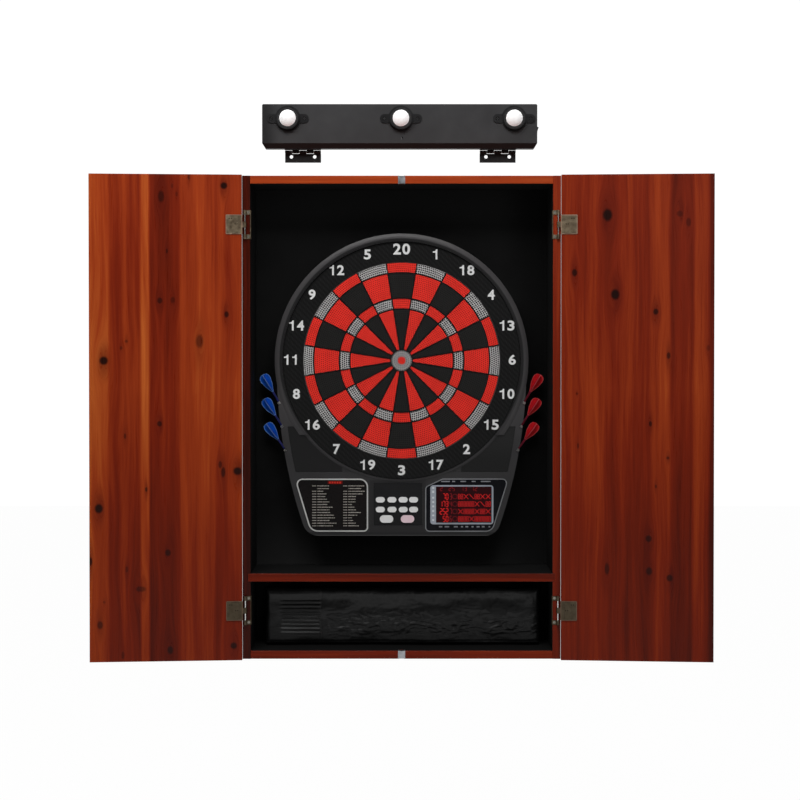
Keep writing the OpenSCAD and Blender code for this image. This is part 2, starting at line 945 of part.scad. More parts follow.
module segment_band(r_in, r_out, parity) {
    intersection() {
        difference() {
            annulus(r_in + seg_fit, r_out - seg_fit);
            sector_bars(web_t + 2 * seg_fit, r_out + eps);
        }
        ten_sectors(parity, r_out * 1.05);
    }
}

module single_segments(parity) {
    at_bull() slab(front_back, seg_front) {
        segment_band(bull_out_r + seg_fit + web_t, triple_r - web_t / 2, parity);
        segment_band(triple_out_r + web_t / 2, double_r - web_t / 2, parity);
    }
}

module ring_segments(parity) {
    at_bull() slab(front_back, seg_front) {
        segment_band(triple_r + web_t / 2, triple_out_r - web_t / 2, parity);
        segment_band(double_r + web_t / 2, target_r, parity);
    }
}

module single_segments_black() {
    color(dark_grey) single_segments(0);
}

module single_segments_red() {
    color(red) single_segments(1);
}

module ring_segments_red() {
    color(red) ring_segments(0);
}

module ring_segments_grey() {
    color(mid_grey) ring_segments(1);
}

module bull_outer() {
    color(mid_grey) at_bull() slab(front_back, seg_front) annulus(bull_in_r + seg_fit, bull_out_r);
}

module bull_inner() {
    color(red) at_bull() slab(front_back, seg_front) circle(r = bull_in_r);
}

// Rubber membrane with a pocket that lets the bull move in
module sensor_membrane() {
    color(black) at_bull() difference() {
        slab(rear_plate_back, front_back) circle(r = membrane_r, $fn = 120);
        slab(front_back - bull_travel - seat_gap, front_back + eps) circle(r = bull_out_r + web_t / 2);
    }
}

module backing_board() {
    color(mid_grey) at_bull() slab(backing_back, rear_plate_back) circle(r = membrane_r, $fn = 120);
}

// ---------- keypad, games panel and display ----------

function key_size(i) = i < 8 ? [key_w, key_h] : [big_key_w, big_key_h];
function key_place(i) = [keypad_x, -keypad_drop]
    + (i < 8 ? [key_x[i % 4], -key_row_drop[floor(i / 4)]] : [big_key_x[i - 8], -big_key_drop]);

module key_outline(i, grow) {
    translate(key_place(i)) stadium(key_size(i)[0] + 2 * grow, key_size(i)[1] + 2 * grow);
}

module all_keys(grow) {
    for (i = [0:9]) key_outline(i, grow);
}

module keypad_plate() {
    color(black) at_bull() slab(plate_back, plate_front) difference() {
        translate([keypad_x, keypad_mid]) rounded_rect(keypad_w, keypad_h, keypad_r);
        all_keys(key_fit);
    }
}

// Moulded key with a flange that keeps it behind the face
module key(i) {
    color(white) at_bull() {
        slab(key_seat - key_lip_t, key_front) key_outline(i, 0);
        slab(key_seat - key_lip_t, key_seat) key_outline(i, key_lip);
    }
}

module key_1() { key(0); }
module key_2() { key(1); }
module key_3() { key(2); }
module key_4() { key(3); }
module key_5() { key(4); }
module key_6() { key(5); }
module key_7() { key(6); }
module key_8() { key(7); }
module key_enter() { key(8); }
module key_start() { key(9); }

module games_panel() {
    color(black) at_bull() slab(panel_back, panel_front) polygon(round_corners(games_pts, games_r));
}

module display_window() {
    color(black) at_bull() slab(panel_back, panel_front) polygon(round_corners(window_pts, window_r));
}

// Main board behind the keys, carrying the display module and the driver chips
module circuit_board() {
    color([0.1, 0.3, 0.15]) at_bull() {
        slab(pcb_back, pcb_front) translate([pcb_x, keypad_mid]) square([pcb_w, pcb_h], center = true);
        slab(pcb_front, module_front) translate([module_x, module_z])
            square([module_w, module_h], center = true);
        for (i = [0:2]) slab(pcb_back - chip_t, pcb_back)
            translate([pcb_x + chip_shift + chip_pitch * i, keypad_mid])
                square([chip_w, chip_h], center = true);
    }
}

// ---------- darts ----------

// Puts a dart, drawn along Z with its collar's foot at the origin, in its holder
module at_holder(i, s) {
    x = collar_x - collar_in[i];
    translate([s * x, -dart_w, board_z + collar_z[i]]) rotate([0, s * dart_lean[i], 0]) children();
}

module dart_metal() {
    rotate_extrude() {
        polygon([[0, -dart_barrel_l - point_l], [point_tip_d / 2, -dart_barrel_l - point_l],
                 [point_d / 2, -dart_barrel_l - barrel_taper], [barrel_nose_d / 2, -dart_barrel_l],
                 [dart_barrel_d / 2, -dart_barrel_l + barrel_taper], [dart_barrel_d / 2, 0],
                 [collar_d / 2, 0], [collar_d / 2, collar_l - collar_taper], [shaft_d / 2, collar_l],
                 [shaft_d / 2, collar_l + shaft_l], [tail_d / 2, collar_l + shaft_l + tail_l],
                 [0, collar_l + shaft_l + tail_l]]);
    }
}

// Teardrop wing of the flight, in distance from the axis and height
module wing_outline() {
    polygon([[0, 0], [flight_w * 0.1, 0], [flight_w * 0.4, flight_l * 0.42], [flight_w / 2, flight_l * 0.7],
             [flight_w * 0.47, flight_l * 0.85], [flight_w * 0.34, flight_l * 0.96],
             [flight_w * 0.12, flight_l], [0, flight_l]]);
}

module dart(i, s) {
    at_holder(i, s) {
        dart_metal();
        for (a = [0:90:270]) rotate([0, 0, a]) translate([0, 0, collar_l + shaft_l]) rotate([90, 0, 0])
            linear_extrude(flight_t, center = true) wing_outline();
    }
}

module dart_blue_1() { color(blue) dart(0, -1); }
module dart_blue_2() { color(blue) dart(1, -1); }
module dart_blue_3() { color(blue) dart(2, -1); }
module dart_red_1() { color(red) dart(0, 1); }
module dart_red_2() { color(red) dart(1, 1); }
module dart_red_3() { color(red) dart(2, 1); }

// Outline of the right-hand foot, from the first collar to the last
module holder_foot() {
    out = collar_x + foot_out;
    low = collar_in[2] + sleeve_l * sin(dart_lean[2]);
    polygon([[out, collar_z[0]], [out - collar_in[2], collar_z[2]], [out - low, collar_z[2] - sleeve_l],
             [out - low - foot_w, collar_z[2] - sleeve_l],
             [out - foot_w - sleeve_l / 2, collar_z[0] - sleeve_l], [out - foot_w, collar_z[0]]]);
}

// Three sleeves on each side, on a foot that is fixed behind the front housing
module dart_holders() {
    color(black) difference() {
        for (s = [-1, 1]) {
            for (i = [0:2]) at_holder(i, s) {
                translate([0, 0, -sleeve_l - sleeve_gap]) cylinder(d = sleeve_d, h = sleeve_l);
                translate([-sleeve_web / 2, 0, -sleeve_l - sleeve_gap]) mirror([0, 1, 0])
                    cube([sleeve_web, rear_plate_back - dart_w, sleeve_l]);
            }
            at_bull() slab(rear_plate_back - holder_t, rear_plate_back) difference() {
                mirror([s < 0 ? 1 : 0, 0]) holder_foot();
                dart_notches(0);
            }
        }
        for (s = [-1, 1], i = [0:2]) at_holder(i, s)
            translate([0, 0, -sleeve_l - 2 * eps])
                cylinder(d = dart_barrel_d + 2 * dart_fit, h = sleeve_l + 3 * eps);
    }
}

// ---------- light bar ----------

// Section of the bar's folded steel sheet, as distance from the wall and height
module bar_outline(d) {
    polygon([[bar_back - d, bar_z + d], [bar_face - lip_in - d * fold_ease, bar_z + d],
             [bar_face - d, bar_z + lip_h + d * fold_ease], [bar_face - d, bar_top - d],
             [bar_back - d, bar_top - d]]);
}

module along_x(x, length) {
    translate([x, 0, 0]) rotate([90, 0, 90]) linear_extrude(length) mirror([1, 0]) children();
}

module lamp_places() {
    for (i = [-1:1]) translate([lamp_x + i * lamp_pitch, -bar_face, lamp_z]) rotate([90, 0, 0]) children();
}

module light_housing() {
    color(black) difference() {
        intersection() {
            along_x(bar_x - bar_w / 2, bar_w) bar_outline(0);
            slab(-eps, bar_face + eps) translate([bar_x, bar_z + bar_h / 2]) bar_front();
        }
        along_x(bar_x - bar_w / 2 + sheet_t, bar_w - 2 * sheet_t) bar_outline(sheet_t);
        for (i = [-1:1]) translate([lamp_x + i * lamp_pitch, -bar_face + 2 * sheet_t, lamp_z])
            rotate([90, 0, 0]) cylinder(r = wiring_hole_r, h = 3 * sheet_t);
        translate([sensor_x, -bar_face + 2 * sheet_t, bar_z + sensor_rise]) rotate([90, 0, 0])
            cylinder(d = sensor_hole_d, h = 3 * sheet_t);
        translate([bar_x + bar_w / 2 - 2 * sheet_t, -switch_axis_w - switch_w / 2, switch_z - switch_h / 2])
            cube([3 * sheet_t, switch_w, switch_h]);
    }
}

// Front outline of the bar: chamfered foot corners and rounded top corners
module bar_front() {
    w = bar_w / 2;
    h = bar_h / 2;
    f = bar_foot_cut;
    t = bar_top_cut;
    polygon([[-w, -h + f[1]], [-w + f[0], -h], [w - f[0], -h], [w, -h + f[1]],
             [w, h - t], [w - t, h], [-w + t, h], [-w, h - t]]);
}

// Round lamp base with a screw ear on each side
module lamp_bases() {
    color(black) lamp_places() difference() {
        union() {
            cylinder(r = lamp_base_r, h = lamp_foot_t);
            rotate_extrude() difference() {
                square([lamp_base_r - lamp_foot_w, lamp_base_t]);
                square([lens_r, lamp_base_t + eps]);
            }
            linear_extrude(lamp_foot_t) for (s = [-1, 1]) {
                translate([s * ear_x, 0]) circle(r = ear_r);
                translate([s * (ear_x - ear_tab / 2), 0]) square([ear_tab, 2 * ear_r], center = true);
            }
        }
        for (s = [-1, 1]) translate([s * ear_x, 0, -eps]) cylinder(d = ear_hole_d, h = lamp_foot_t + 2 * eps);
        translate([0, 0, -eps]) cylinder(r = wiring_hole_r, h = lamp_foot_t + 2 * eps);
    }
}

// Domed lens, seated in its base
module lamp_lenses() {
    dome_r = (pow(lens_r, 2) + pow(lens_out, 2)) / (2 * lens_out);
    seat_h = lamp_base_t - lamp_foot_t;
    color(white) lamp_places() translate([0, 0, lamp_foot_t]) rotate_extrude() {
        square([lens_r - lens_fit, seat_h]);
        intersection() {
            translate([0, seat_h + lens_out - dome_r]) circle(r = dome_r, $fn = 96);
            translate([0, seat_h]) square([lens_r - lens_fit, lens_out]);
        }
    }
}

// Knuckles along the light bar's hinge pin: the wall leaf takes the odd ones
module wall_knuckles(odd) {
    for (i = [0:knuckle_n - 1]) if (i % 2 == odd)
        translate([i * wall_leaf_w / knuckle_n - wall_leaf_w / 2 + knuckle_fit, 0, 0]) children();
}

module hinge_barrel(hole) {
    rotate([0, 90, 0]) difference() {
        cylinder(d = wall_barrel_d, h = knuckle_l);
        translate([0, 0, -eps]) cylinder(d = hole, h = knuckle_l + 2 * eps);
    }
}

module at_wall_hinges() {
    for (s = [-1, 1]) translate([leaf_x + s * wall_hinge_x, -axis_w, axis_z]) children();
}

module light_wall_leaves() {
    color(black) at_wall_hinges() {
        difference() {
            translate([-wall_leaf_w / 2, axis_w - wall_leaf_t, -wall_leaf_h])
                cube([wall_leaf_w, wall_leaf_t, wall_leaf_h - wall_barrel_d / 2 - knuckle_fit]);
            for (s = [-1, 1]) translate([s * wall_leaf_pitch / 2, axis_w + eps, -wall_hole_drop])
                rotate([90, 0, 0]) cylinder(d = wall_leaf_hole_d, h = wall_leaf_t + 2 * eps);
        }
        wall_knuckles(0) {
            hinge_barrel(wall_pin_d);
            translate([0, axis_w - wall_leaf_t - knuckle_tab, -wall_barrel_d / 2 - knuckle_fit - knuckle_tab])
                cube([knuckle_l, wall_leaf_t + knuckle_tab, wall_barrel_d / 2 + knuckle_tab]);
        }
    }
}

// Leaves fixed under the bar's foot, which tilt with it
module light_bar_leaves() {
    color(black) at_wall_hinges() {
        translate([-wall_leaf_w / 2, -bar_leaf_l, bar_z - axis_z - wall_leaf_t])
            cube([wall_leaf_w, bar_leaf_l, wall_leaf_t]);
        wall_knuckles(1) {
            hinge_barrel(wall_pin_d + 2 * pin_fit);
            translate([0, -knuckle_tab, wall_pin_d / 2 + pin_fit])
                cube([knuckle_l, 2 * knuckle_tab, bar_z - axis_z - wall_pin_d / 2 - pin_fit]);
        }
    }
}

module rocker_switch() {
    h = switch_h / 2 - switch_taper;
    color(black) translate([bar_x + bar_w / 2, -switch_axis_w, switch_z]) rotate([90, 0, 0])
        linear_extrude(switch_w - 2 * seat_gap, center = true)
            polygon([[-switch_depth, -h], [-switch_depth, h], [0, h], [switch_out, h - switch_taper],
                     [switch_taper, 0], [switch_taper / 2, -h]]);
}

// ---------- storage bag ----------

// Soft pouch that lies in the locker
module storage_bag() {
    color(black) translate([bag_x, 0, -top_z + seat_gap]) slab(bag_back, bag_back + bag_d)
        translate([0, bag_h / 2]) rounded_rect(bag_w, bag_h, bag_r);
}

side_left();
side_right();
top_panel();
bottom_panel();
divider_shelf();
back_panel();
hanging_rails();
magnetic_catches();
hinge_frame_leaves();
hinge_pins();
frame_hinge_screws();
door_left();
hinge_plates_left();
door_screws_left();
knob_left();
door_right();
hinge_plates_right();
door_screws_right();
knob_right();
board_rear_housing();
board_front_housing();
number_ring();
spider();
single_segments_black();
single_segments_red();
ring_segments_red();
ring_segments_grey();
bull_outer();
bull_inner();
sensor_membrane();
backing_board();
circuit_board();
keypad_plate();
key_1();
key_2();
key_3();
key_4();
key_5();
key_6();
key_7();
key_8();
key_enter();
key_start();
display_window();
games_panel();
dart_holders();
dart_blue_1();
dart_blue_2();
dart_blue_3();
dart_red_1();
dart_red_2();
dart_red_3();
storage_bag();
light_housing();
lamp_bases();
lamp_lenses();
light_wall_leaves();
light_bar_leaves();
rocker_switch();
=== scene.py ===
import bpy, bmesh, math, random
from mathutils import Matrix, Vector, noise


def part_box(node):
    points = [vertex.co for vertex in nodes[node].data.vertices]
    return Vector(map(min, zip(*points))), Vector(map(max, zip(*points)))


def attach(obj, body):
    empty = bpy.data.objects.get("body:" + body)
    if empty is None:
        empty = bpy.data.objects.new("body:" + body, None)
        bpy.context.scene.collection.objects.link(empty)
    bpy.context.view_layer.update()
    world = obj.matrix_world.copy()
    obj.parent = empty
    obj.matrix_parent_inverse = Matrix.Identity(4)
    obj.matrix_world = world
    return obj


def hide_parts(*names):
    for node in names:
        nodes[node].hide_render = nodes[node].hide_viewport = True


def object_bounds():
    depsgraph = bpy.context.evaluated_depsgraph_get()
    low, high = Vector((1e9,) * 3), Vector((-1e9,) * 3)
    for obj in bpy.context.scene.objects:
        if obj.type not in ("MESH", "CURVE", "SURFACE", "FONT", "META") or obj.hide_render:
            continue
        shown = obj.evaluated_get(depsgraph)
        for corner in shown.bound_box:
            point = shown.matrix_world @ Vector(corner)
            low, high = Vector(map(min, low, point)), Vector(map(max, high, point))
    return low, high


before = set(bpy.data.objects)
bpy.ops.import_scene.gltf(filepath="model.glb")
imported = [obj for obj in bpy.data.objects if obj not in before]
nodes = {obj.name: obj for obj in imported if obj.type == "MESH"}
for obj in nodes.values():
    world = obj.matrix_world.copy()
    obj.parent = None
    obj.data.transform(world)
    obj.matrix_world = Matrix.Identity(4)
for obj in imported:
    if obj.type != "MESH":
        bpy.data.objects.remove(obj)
cad_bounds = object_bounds()
MM = 0.001


# ---- colours and node graphs

def srgb(r, g, b):
    """A colour written in 0 to 255 steps, as linear light with full cover."""
    def one(v):
        v /= 255
        return v / 12.92 if v <= 0.04045 else ((v + 0.055) / 1.055) ** 2.4
    return (one(r), one(g), one(b), 1)


def grey(level):
    return srgb(level, level, level)


class Graph:
    """Short calls for building a node tree. Any input may be a number, a tuple or another node's output.
    The calls for single math nodes are added below."""

    def __init__(self, tree, shader=None):
        self.tree, self.shader = tree, shader

    def node(self, kind, **props):
        made = self.tree.nodes.new(kind)
        for key, value in props.items():
            setattr(made, key, value)
        return made

    def feed(self, socket, value):
        """Links an output to the socket, or sets it. Three numbers are a colour in 0 to 255 steps."""
        if isinstance(value, bpy.types.NodeSocket):
            self.tree.links.new(value, socket)
        elif value is not None:
            socket.default_value = srgb(*value) if isinstance(value, tuple) and len(value) == 3 else value

    def made(self, kind, *values, **props):
        """The first output of a new node whose inputs are fed in order."""
        node = self.node(kind, **props)
        for socket, value in zip(node.inputs, values):
            self.feed(socket, value)
        return node.outputs[0]

    def math(self, op, *values):
        return self.made("ShaderNodeMath", *values, operation=op)

    def length(self, a, b):
        """How long the flat vector (a, b) is."""
        return self.math("SQRT", self.add(self.mul(a, a), self.mul(b, b)))

    def split(self, vector):
        made = self.node("ShaderNodeSeparateXYZ")
        self.feed(made.inputs[0], vector)
        return made.outputs

    def join(self, x, y, z):
        return self.made("ShaderNodeCombineXYZ", x, y, z)

    def step(self, value, low, high, out_low=0, out_high=1):
        """A smooth step of value from low to high."""
        return self.made("ShaderNodeMapRange", value, low, high, out_low, out_high,
                         interpolation_type="SMOOTHSTEP")

    def span(self, value, low, high, out_low=0, out_high=1):
        """The same, in a straight line."""
        return self.made("ShaderNodeMapRange", value, low, high, out_low, out_high)

    def middle(self, value, out_low=0, out_high=1):
        """A noise value, whose middle part is stretched to the whole span."""
        return self.span(value, 0.3, 0.7, out_low, out_high)

    def mix(self, factor, a, b):
        """Colour a where factor is 0 and b where it is 1, from the sockets of a colour mix."""
        made = self.node("ShaderNodeMix", data_type="RGBA")
        for socket, value in zip((made.inputs[0], made.inputs[6], made.inputs[7]), (factor, a, b)):
            self.feed(socket, value)
        return made.outputs[2]

    def cover(self, colour, *layers):
        """Lays layers over a colour one after another. A layer is (mask, share, colour)."""
        for mask, share, top in layers:
            colour = self.mix(mask if share == 1 else self.mul(mask, share), colour, top)
        return colour

    def between(self, value, a, b, c, d):
        """1 from b to c, 0 below a and above d."""
        return self.mul(self.step(value, a, b), self.step(value, d, c))

    def curve(self, value, points):
        """The level read from a line through (place, level) points."""
        low, wide = points[0][0], points[-1][0] - points[0][0]
        return self.ramp(self.div(self.sub(value, low), wide),
                         [((place - low) / wide, (level, level, level, 1)) for place, level in points])

    def ramp(self, value, stops):
        made = self.node("ShaderNodeValToRGB")
        self.feed(made.inputs[0], value)
        ramp = made.color_ramp
        while len(ramp.elements) < len(stops):
            ramp.elements.new(1)
        for element, (place, colour) in zip(ramp.elements, stops):
            element.position = place
            element.color = colour
        return made.outputs[0]

    def keyed(self, kind, **values):
        """The first output of a new node whose inputs are fed by name."""
        node = self.node(kind)
        for key, value in values.items():
            self.feed(node.inputs[key], value)
        return node.outputs[0]

    def noise(self, vector, scale, detail=2, rough=0.5, warp=0):
        return self.keyed("ShaderNodeTexNoise", Vector=vector, Scale=scale, Detail=detail, Roughness=rough,
                          Distortion=warp)

    def place(self):
        """The point in millimetres, in the frame of the object at rest."""
        made = self.node("ShaderNodeVectorMath", operation="SCALE")
        self.feed(made.inputs[0], self.node("ShaderNodeTexCoord").outputs["Object"])
        self.feed(made.inputs["Scale"], 1 / MM)
        return made.outputs[0]

    def bump(self, height, distance, strength=1, normal=None):
        return self.keyed("ShaderNodeBump", Strength=strength, Distance=distance * MM, Height=height,
                          Normal=normal)

    def surface(self, colour, rough, normal):
        """Feeds the three sockets of the shader that nearly every material drives."""
        for name, value in (("Base Color", colour), ("Roughness", rough), ("Normal", normal)):
            self.feed(self.shader.inputs[name], value)


def shortcut(op):
    return lambda self, *values: self.math(op, *values)


for short, op in (("add", "ADD"), ("sub", "SUBTRACT"), ("mul", "MULTIPLY"), ("div", "DIVIDE"),
                  ("least", "MINIMUM"), ("most", "MAXIMUM"), ("absolute", "ABSOLUTE"), ("floor", "FLOOR"),
                  ("fraction", "FRACT"), ("below", "LESS_THAN"), ("above", "GREATER_THAN"),
                  ("angle", "ARCTAN2"), ("rest", "MODULO"), ("fold", "PINGPONG")):
    setattr(Graph, short, shortcut(op))


def material(name, build, shine=0.12, **sockets):
    """A material whose tree build(g) makes. Plain values go straight on the shader's sockets."""
    made = bpy.data.materials.new(name)
    made.use_nodes = True
    g = Graph(made.node_tree, made.node_tree.nodes["Principled BSDF"])
    for key, value in {"Specular_IOR_Level": shine, **sockets}.items():
        g.shader.inputs[key.replace("_", " ")].default_value = value
    build(g)
    return made


def placed(name, data):
    """A new object in the scene."""
    made = bpy.data.objects.new(name, data)
    bpy.context.scene.collection.objects.link(made)
    return made


def paint(mat, *names):
    """Gives CAD nodes a finer material."""
    for name in names:
        mesh = nodes[name].data
        mesh.materials.clear()
        mesh.materials.append(mat)


# ---- stained pine

HALO_ACROSS, HALO_ALONG = 0.45, 0.16  # how fast a knot's stained halo fades, against its own half sizes
BEND_STRETCH = 0.1  # grain bends over a longer stretch along the board than across it


def knot_group():
    """One knot: bends the grain round it and deepens the dark core and the stained halo."""
    tree = bpy.data.node_groups.new("knot", "ShaderNodeTree")
    for name in ("across", "along", "grain", "core", "halo", "at", "up", "half_w", "half_h", "depth"):
        tree.interface.new_socket(name, in_out="INPUT", socket_type="NodeSocketFloat")
    for name in ("grain", "core", "halo"):
        tree.interface.new_socket(name, in_out="OUTPUT", socket_type="NodeSocketFloat")
    g = Graph(tree)
    across, along, grain, core, halo, at, up, half_w, half_h, depth = g.node("NodeGroupInput").outputs[:10]
    out = g.node("NodeGroupOutput").inputs
    dx, dz = g.sub(across, at), g.sub(along, up)
    ex, ez = g.div(dx, half_w), g.div(dz, half_h)
    near = g.length(ex, ez)
    lx, lz = g.mul(ex, HALO_ACROSS), g.mul(ez, HALO_ALONG)
    far = g.length(lx, lz)
    g.feed(out[1], g.most(core, g.mul(depth, g.step(near, 0.6, 1.25, 1, 0))))
    g.feed(out[2], g.most(halo, g.mul(depth, g.step(far, 0.1, 1, 1, 0))))
    size = g.mul(half_w, 1.5)
    area = g.mul(size, size)
    reach = g.add(g.add(g.mul(dx, dx), g.mul(g.mul(dz, dz), BEND_STRETCH)), g.mul(area, 0.3))
    g.feed(out[0], g.sub(grain, g.div(g.mul(dx, area), reach)))
    return tree


KNOT = knot_group()
STAIN = [(0, srgb(52, 12, 4)), (0.25, srgb(90, 23, 8)), (0.5, srgb(128, 37, 14)),
         (0.75, srgb(164, 62, 24)), (1, srgb(200, 100, 42))]
KNOT_CORE = (22, 8, 5)
KNOT_RING = (84, 18, 9)
PAINT_BLACK = grey(13)
PAINT_WORN = grey(20)
BROAD = (30, 700, 2)  # width and length of the grain's streaks in mm, and detail of their noise
MEDIUM = (7.5, 260, 3)
FINE = (1.3, 60, 2)
SWAY = 26  # how far the grain wanders across the board, in mm


def pine(name, along, seed, tone=0.5, knots=(), bands=(), origin=0, side=1, black=None, drift=()):
    """Stained, varnished pine. bands are (distance across, tone) steps and knots are (across, along, half
    sizes, depth), both measured from origin towards side. drift is (distance along, change of tone) steps.
    black(g, at) masks the faces that are painted black."""
    def build(g):
        at = g.split(g.place())
        across = g.mul(g.sub(at[0] if along == "z" else at[2], origin), side)
        run = at[2] if along == "z" else at[0]
        slow = g.join(g.mul(across, 0.012), g.mul(at[1], 0.03), g.add(g.mul(run, 0.0022), seed))
        sway = g.noise(slow, 1, 2)
        grain, core, halo = g.add(across, g.mul(g.sub(sway, 0.5), SWAY)), 0, 0
        for k in knots:
            made = g.node("ShaderNodeGroup", node_tree=KNOT)
            for socket, value in zip(made.inputs, (across, run, grain, core, halo, *k)):
                g.feed(socket, value)
            grain, core, halo = made.outputs[:3]

        def streak(width, length, detail):
            spot = g.join(g.div(grain, width), g.div(at[1], width), g.add(g.div(run, length), seed))
            return g.noise(spot, 1, detail, 0.55)
        broad, mid, fine = streak(*BROAD), streak(*MEDIUM), streak(*FINE)
        value = g.add(g.mul(g.sub(broad, 0.5), 0.55), g.mul(g.sub(mid, 0.5), 0.42))
        value = g.add(value, g.mul(g.sub(fine, 0.5), 0.16))
        value = g.add(value, g.curve(g.add(across, g.mul(g.sub(sway, 0.5), 3)), bands) if bands else tone)
        if drift:
            value = g.add(value, g.sub(g.curve(run, [(u, t + 0.5) for u, t in drift]), 0.5))
        colour = g.cover(g.ramp(value, STAIN), (halo, 0.55, KNOT_RING), (core, 0.95, KNOT_CORE))
        rough = g.middle(fine, 0.26, 0.38)
        if black:
            mask = black(g, at)
            speck = g.noise(g.place(), 0.9, 3, 0.7)
            colour = g.mix(mask, colour, g.mix(speck, PAINT_BLACK, PAINT_WORN))
            rough = g.add(g.mul(rough, g.sub(1, mask)), g.mul(mask, 0.72))
        g.surface(colour, rough, g.bump(g.sub(fine, g.mul(core, 0.6)), 0.12, 0.5))
    return material(name, build)


# Knots as (across, along, half width, half height, depth) in mm from the hinge edge
LEFT_KNOTS = [
    (41, 457, 7.1, 7.1, 1), (163, 435, 6.4, 12.2, .7), (109, 473, 2.6, 5.8, .6), (142, 456, 2.6, 5.1, .4),
    (133, 440, 2.6, 5.1, .4), (152, 328, 2.2, 5.1, .7), (166, 231, 5.4, 6.4, .75), (141, 232, 4.5, 6.4, .5),
    (36, 204, 4.8, 6.4, .9), (89, 151, 7.7, 13.5, .6), (231, 151, 3.2, 3.2, .5), (241, 138, 2.9, 3.8, .5),
    (275, 113, 8.7, 8.7, 1), (167, -11, 5.1, 5.8, .8), (234, -35, 2.6, 5.8, .6), (193, -140, 2.6, 5.1, .8),
    (285, -177, 8.3, 9.6, 1), (49, -92, 3.8, 7.7, .7), (43, -107, 4.5, 10.9, .8), (15, -105, 9, 8.3, 1),
    (151, -265, 5.8, 7.1, .8), (301, -281, 3.2, 9, .9), (231, -297, 2.9, 6.4, .5), (204, -336, 10.3, 5.8, .6),
    (275, -361, 2.6, 2.6, .4), (283, -406, 5.8, 8.3, .7), (23, -450, 6.7, 6.7, .9), (147, -457, 5.8, 8.3, .8),
    (239, -466, 3.2, 8.3, .5)]
RIGHT_KNOTS = [
    (96, 399, 9.6, 12.8, 1), (32, 286, 5.4, 7.7, .9), (111, 243, 8.7, 10.9, 1), (190, 209, 5.4, 6.4, .9),
    (215, 123, 3.8, 7.1, .8), (236, 401, 6.4, 6.4, .5), (253, 384, 5.1, 9, .5), (37, 48, 2.6, 2.6, .5),
    (292, 138, 3.8, 6.4, .4), (180, -11, 3.2, 5.8, .8), (39, -55, 1.9, 6.4, .6), (214, -78, 3.2, 3.2, .7),
    (191, -134, 2.2, 3.8, .6), (177, -237, 6.4, 7.1, .8), (96, -297, 4.8, 12.2, .7),
    (178, -301, 6.4, 8.3, .8), (218, -314, 6.4, 7.1, .8)]
LEFT_BANDS = [(0, .56), (57, .56), (62, .66), (124, .66), (129, .42), (184, .42), (189, .84), (201, .84),
              (206, .48), (228, .5), (236, .58), (246, .48), (263, .5), (268, .7), (303, .74), (310, .6)]
RIGHT_BANDS = [(0, .56), (60, .52), (176, .44), (184, .58), (216, .6), (222, .38), (260, .36), (266, .56),
               (290, .56), (297, .3), (310, .3)]
DOOR_DRIFT = [(-480, -.08), (-250, -.06), (-60, .06), (60, .12), (180, .05), (300, 0), (480, -.01)]
SIDE_DRIFT = [(-480, -.06), (-200, -.05), (0, .04), (240, .1), (480, .1)]
side_low, side_high = (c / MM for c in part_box("side_right"))
half_case = side_high.x
inner_face = half_case - (side_high.x - side_low.x)
front = side_low.y
top_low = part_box("top_panel")[0].z / MM
bottom_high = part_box("bottom_panel")[1].z / MM


SKIN = 0.2  # a painted face is one that lies within this of the board's inner side, in mm
EDGE_BARE = 0.9  # the front edges stay bare wood this far back
HINGE_EDGE = 6  # the doors' hinge edges lie this far inside the case's sides


def inside_sides(g, at):
    return g.below(g.absolute(at[0]), inner_face + SKIN)


def behind_front(g, at):
    return g.above(at[1], front + EDGE_BARE)


def under_top(g, at):
    return g.mul(g.below(at[2], top_low + SKIN), behind_front(g, at))


def on_bottom(g, at):
    return g.mul(g.above(at[2], bottom_high - SKIN), behind_front(g, at))


for name, seed, knots, bands, side in (
        ("left", 3.1, LEFT_KNOTS, LEFT_BANDS, -1), ("right", 7.7, RIGHT_KNOTS, RIGHT_BANDS, 1)):
    paint(pine("pine_door_" + name, "z", seed, knots=knots, bands=bands, side=side, drift=DOOR_DRIFT,
               origin=side * (half_case - HINGE_EDGE)), "door_" + name)
# The left side's very dark tone is painted shade
paint(pine("pine_side_left_shaded", "z", 1.3, 0.08, black=inside_sides), "side_left")
paint(pine("pine_side_right", "z", 5.2, 0.46, black=inside_sides, drift=SIDE_DRIFT), "side_right")
paint(pine("pine_top", "x", 2.4, 0.76, knots=[(-9, -89, 5, 4, .8), (-9, 193, 5, 4, .8)], origin=-top_low,
           black=under_top), "top_panel")
paint(pine("pine_bottom", "x", 9.2, 0.38, black=on_bottom), "bottom_panel")
paint(pine("pine_shelf", "x", 6.6, 0.33, black=behind_front), "divider_shelf")
paint(pine("pine_rails", "x", 4.4, 0.6), "hanging_rails")


# ---- plastics, metals and paints

PATCH = 0.018  # scales of a noise, in turns per mm: soft patches, and cloudy gloss
CLOUD = 0.35
GLOSS_SWING = 0.06


def toned(colour, share):
    """The colour at a share of its light."""
    return tuple(c * share for c in srgb(*colour)[:3]) + (1,)


def plain(name, low, high, rough, grain=0.6, depth=0.01, **sockets):
    """A moulded, coated or printed surface: two close tones in soft patches, and a fine grain in its bump."""
    def build(g):
        at = g.place()
        patch, fine = g.noise(at, PATCH, 3), g.noise(at, grain, 3, 0.6)
        g.surface(g.mix(g.middle(patch), low, high),
                  g.middle(g.noise(at, CLOUD, 2), rough - GLOSS_SWING, rough + GLOSS_SWING),
                  g.bump(fine, depth, 0.6))
    return material(name, build, **sockets)


bull = (sum(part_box("bull_inner"), Vector()) / 2) / MM


def round_the_bull(g):
    """Radius in mm and angle in turns about the bull's centre."""
    at = g.split(g.place())
    dx, dz = g.sub(at[0], bull.x), g.sub(at[2], bull.z)
    radius = g.length(dx, dz)
    turn = g.div(g.angle(dz, dx), math.tau)
    return dx, dz, radius, turn


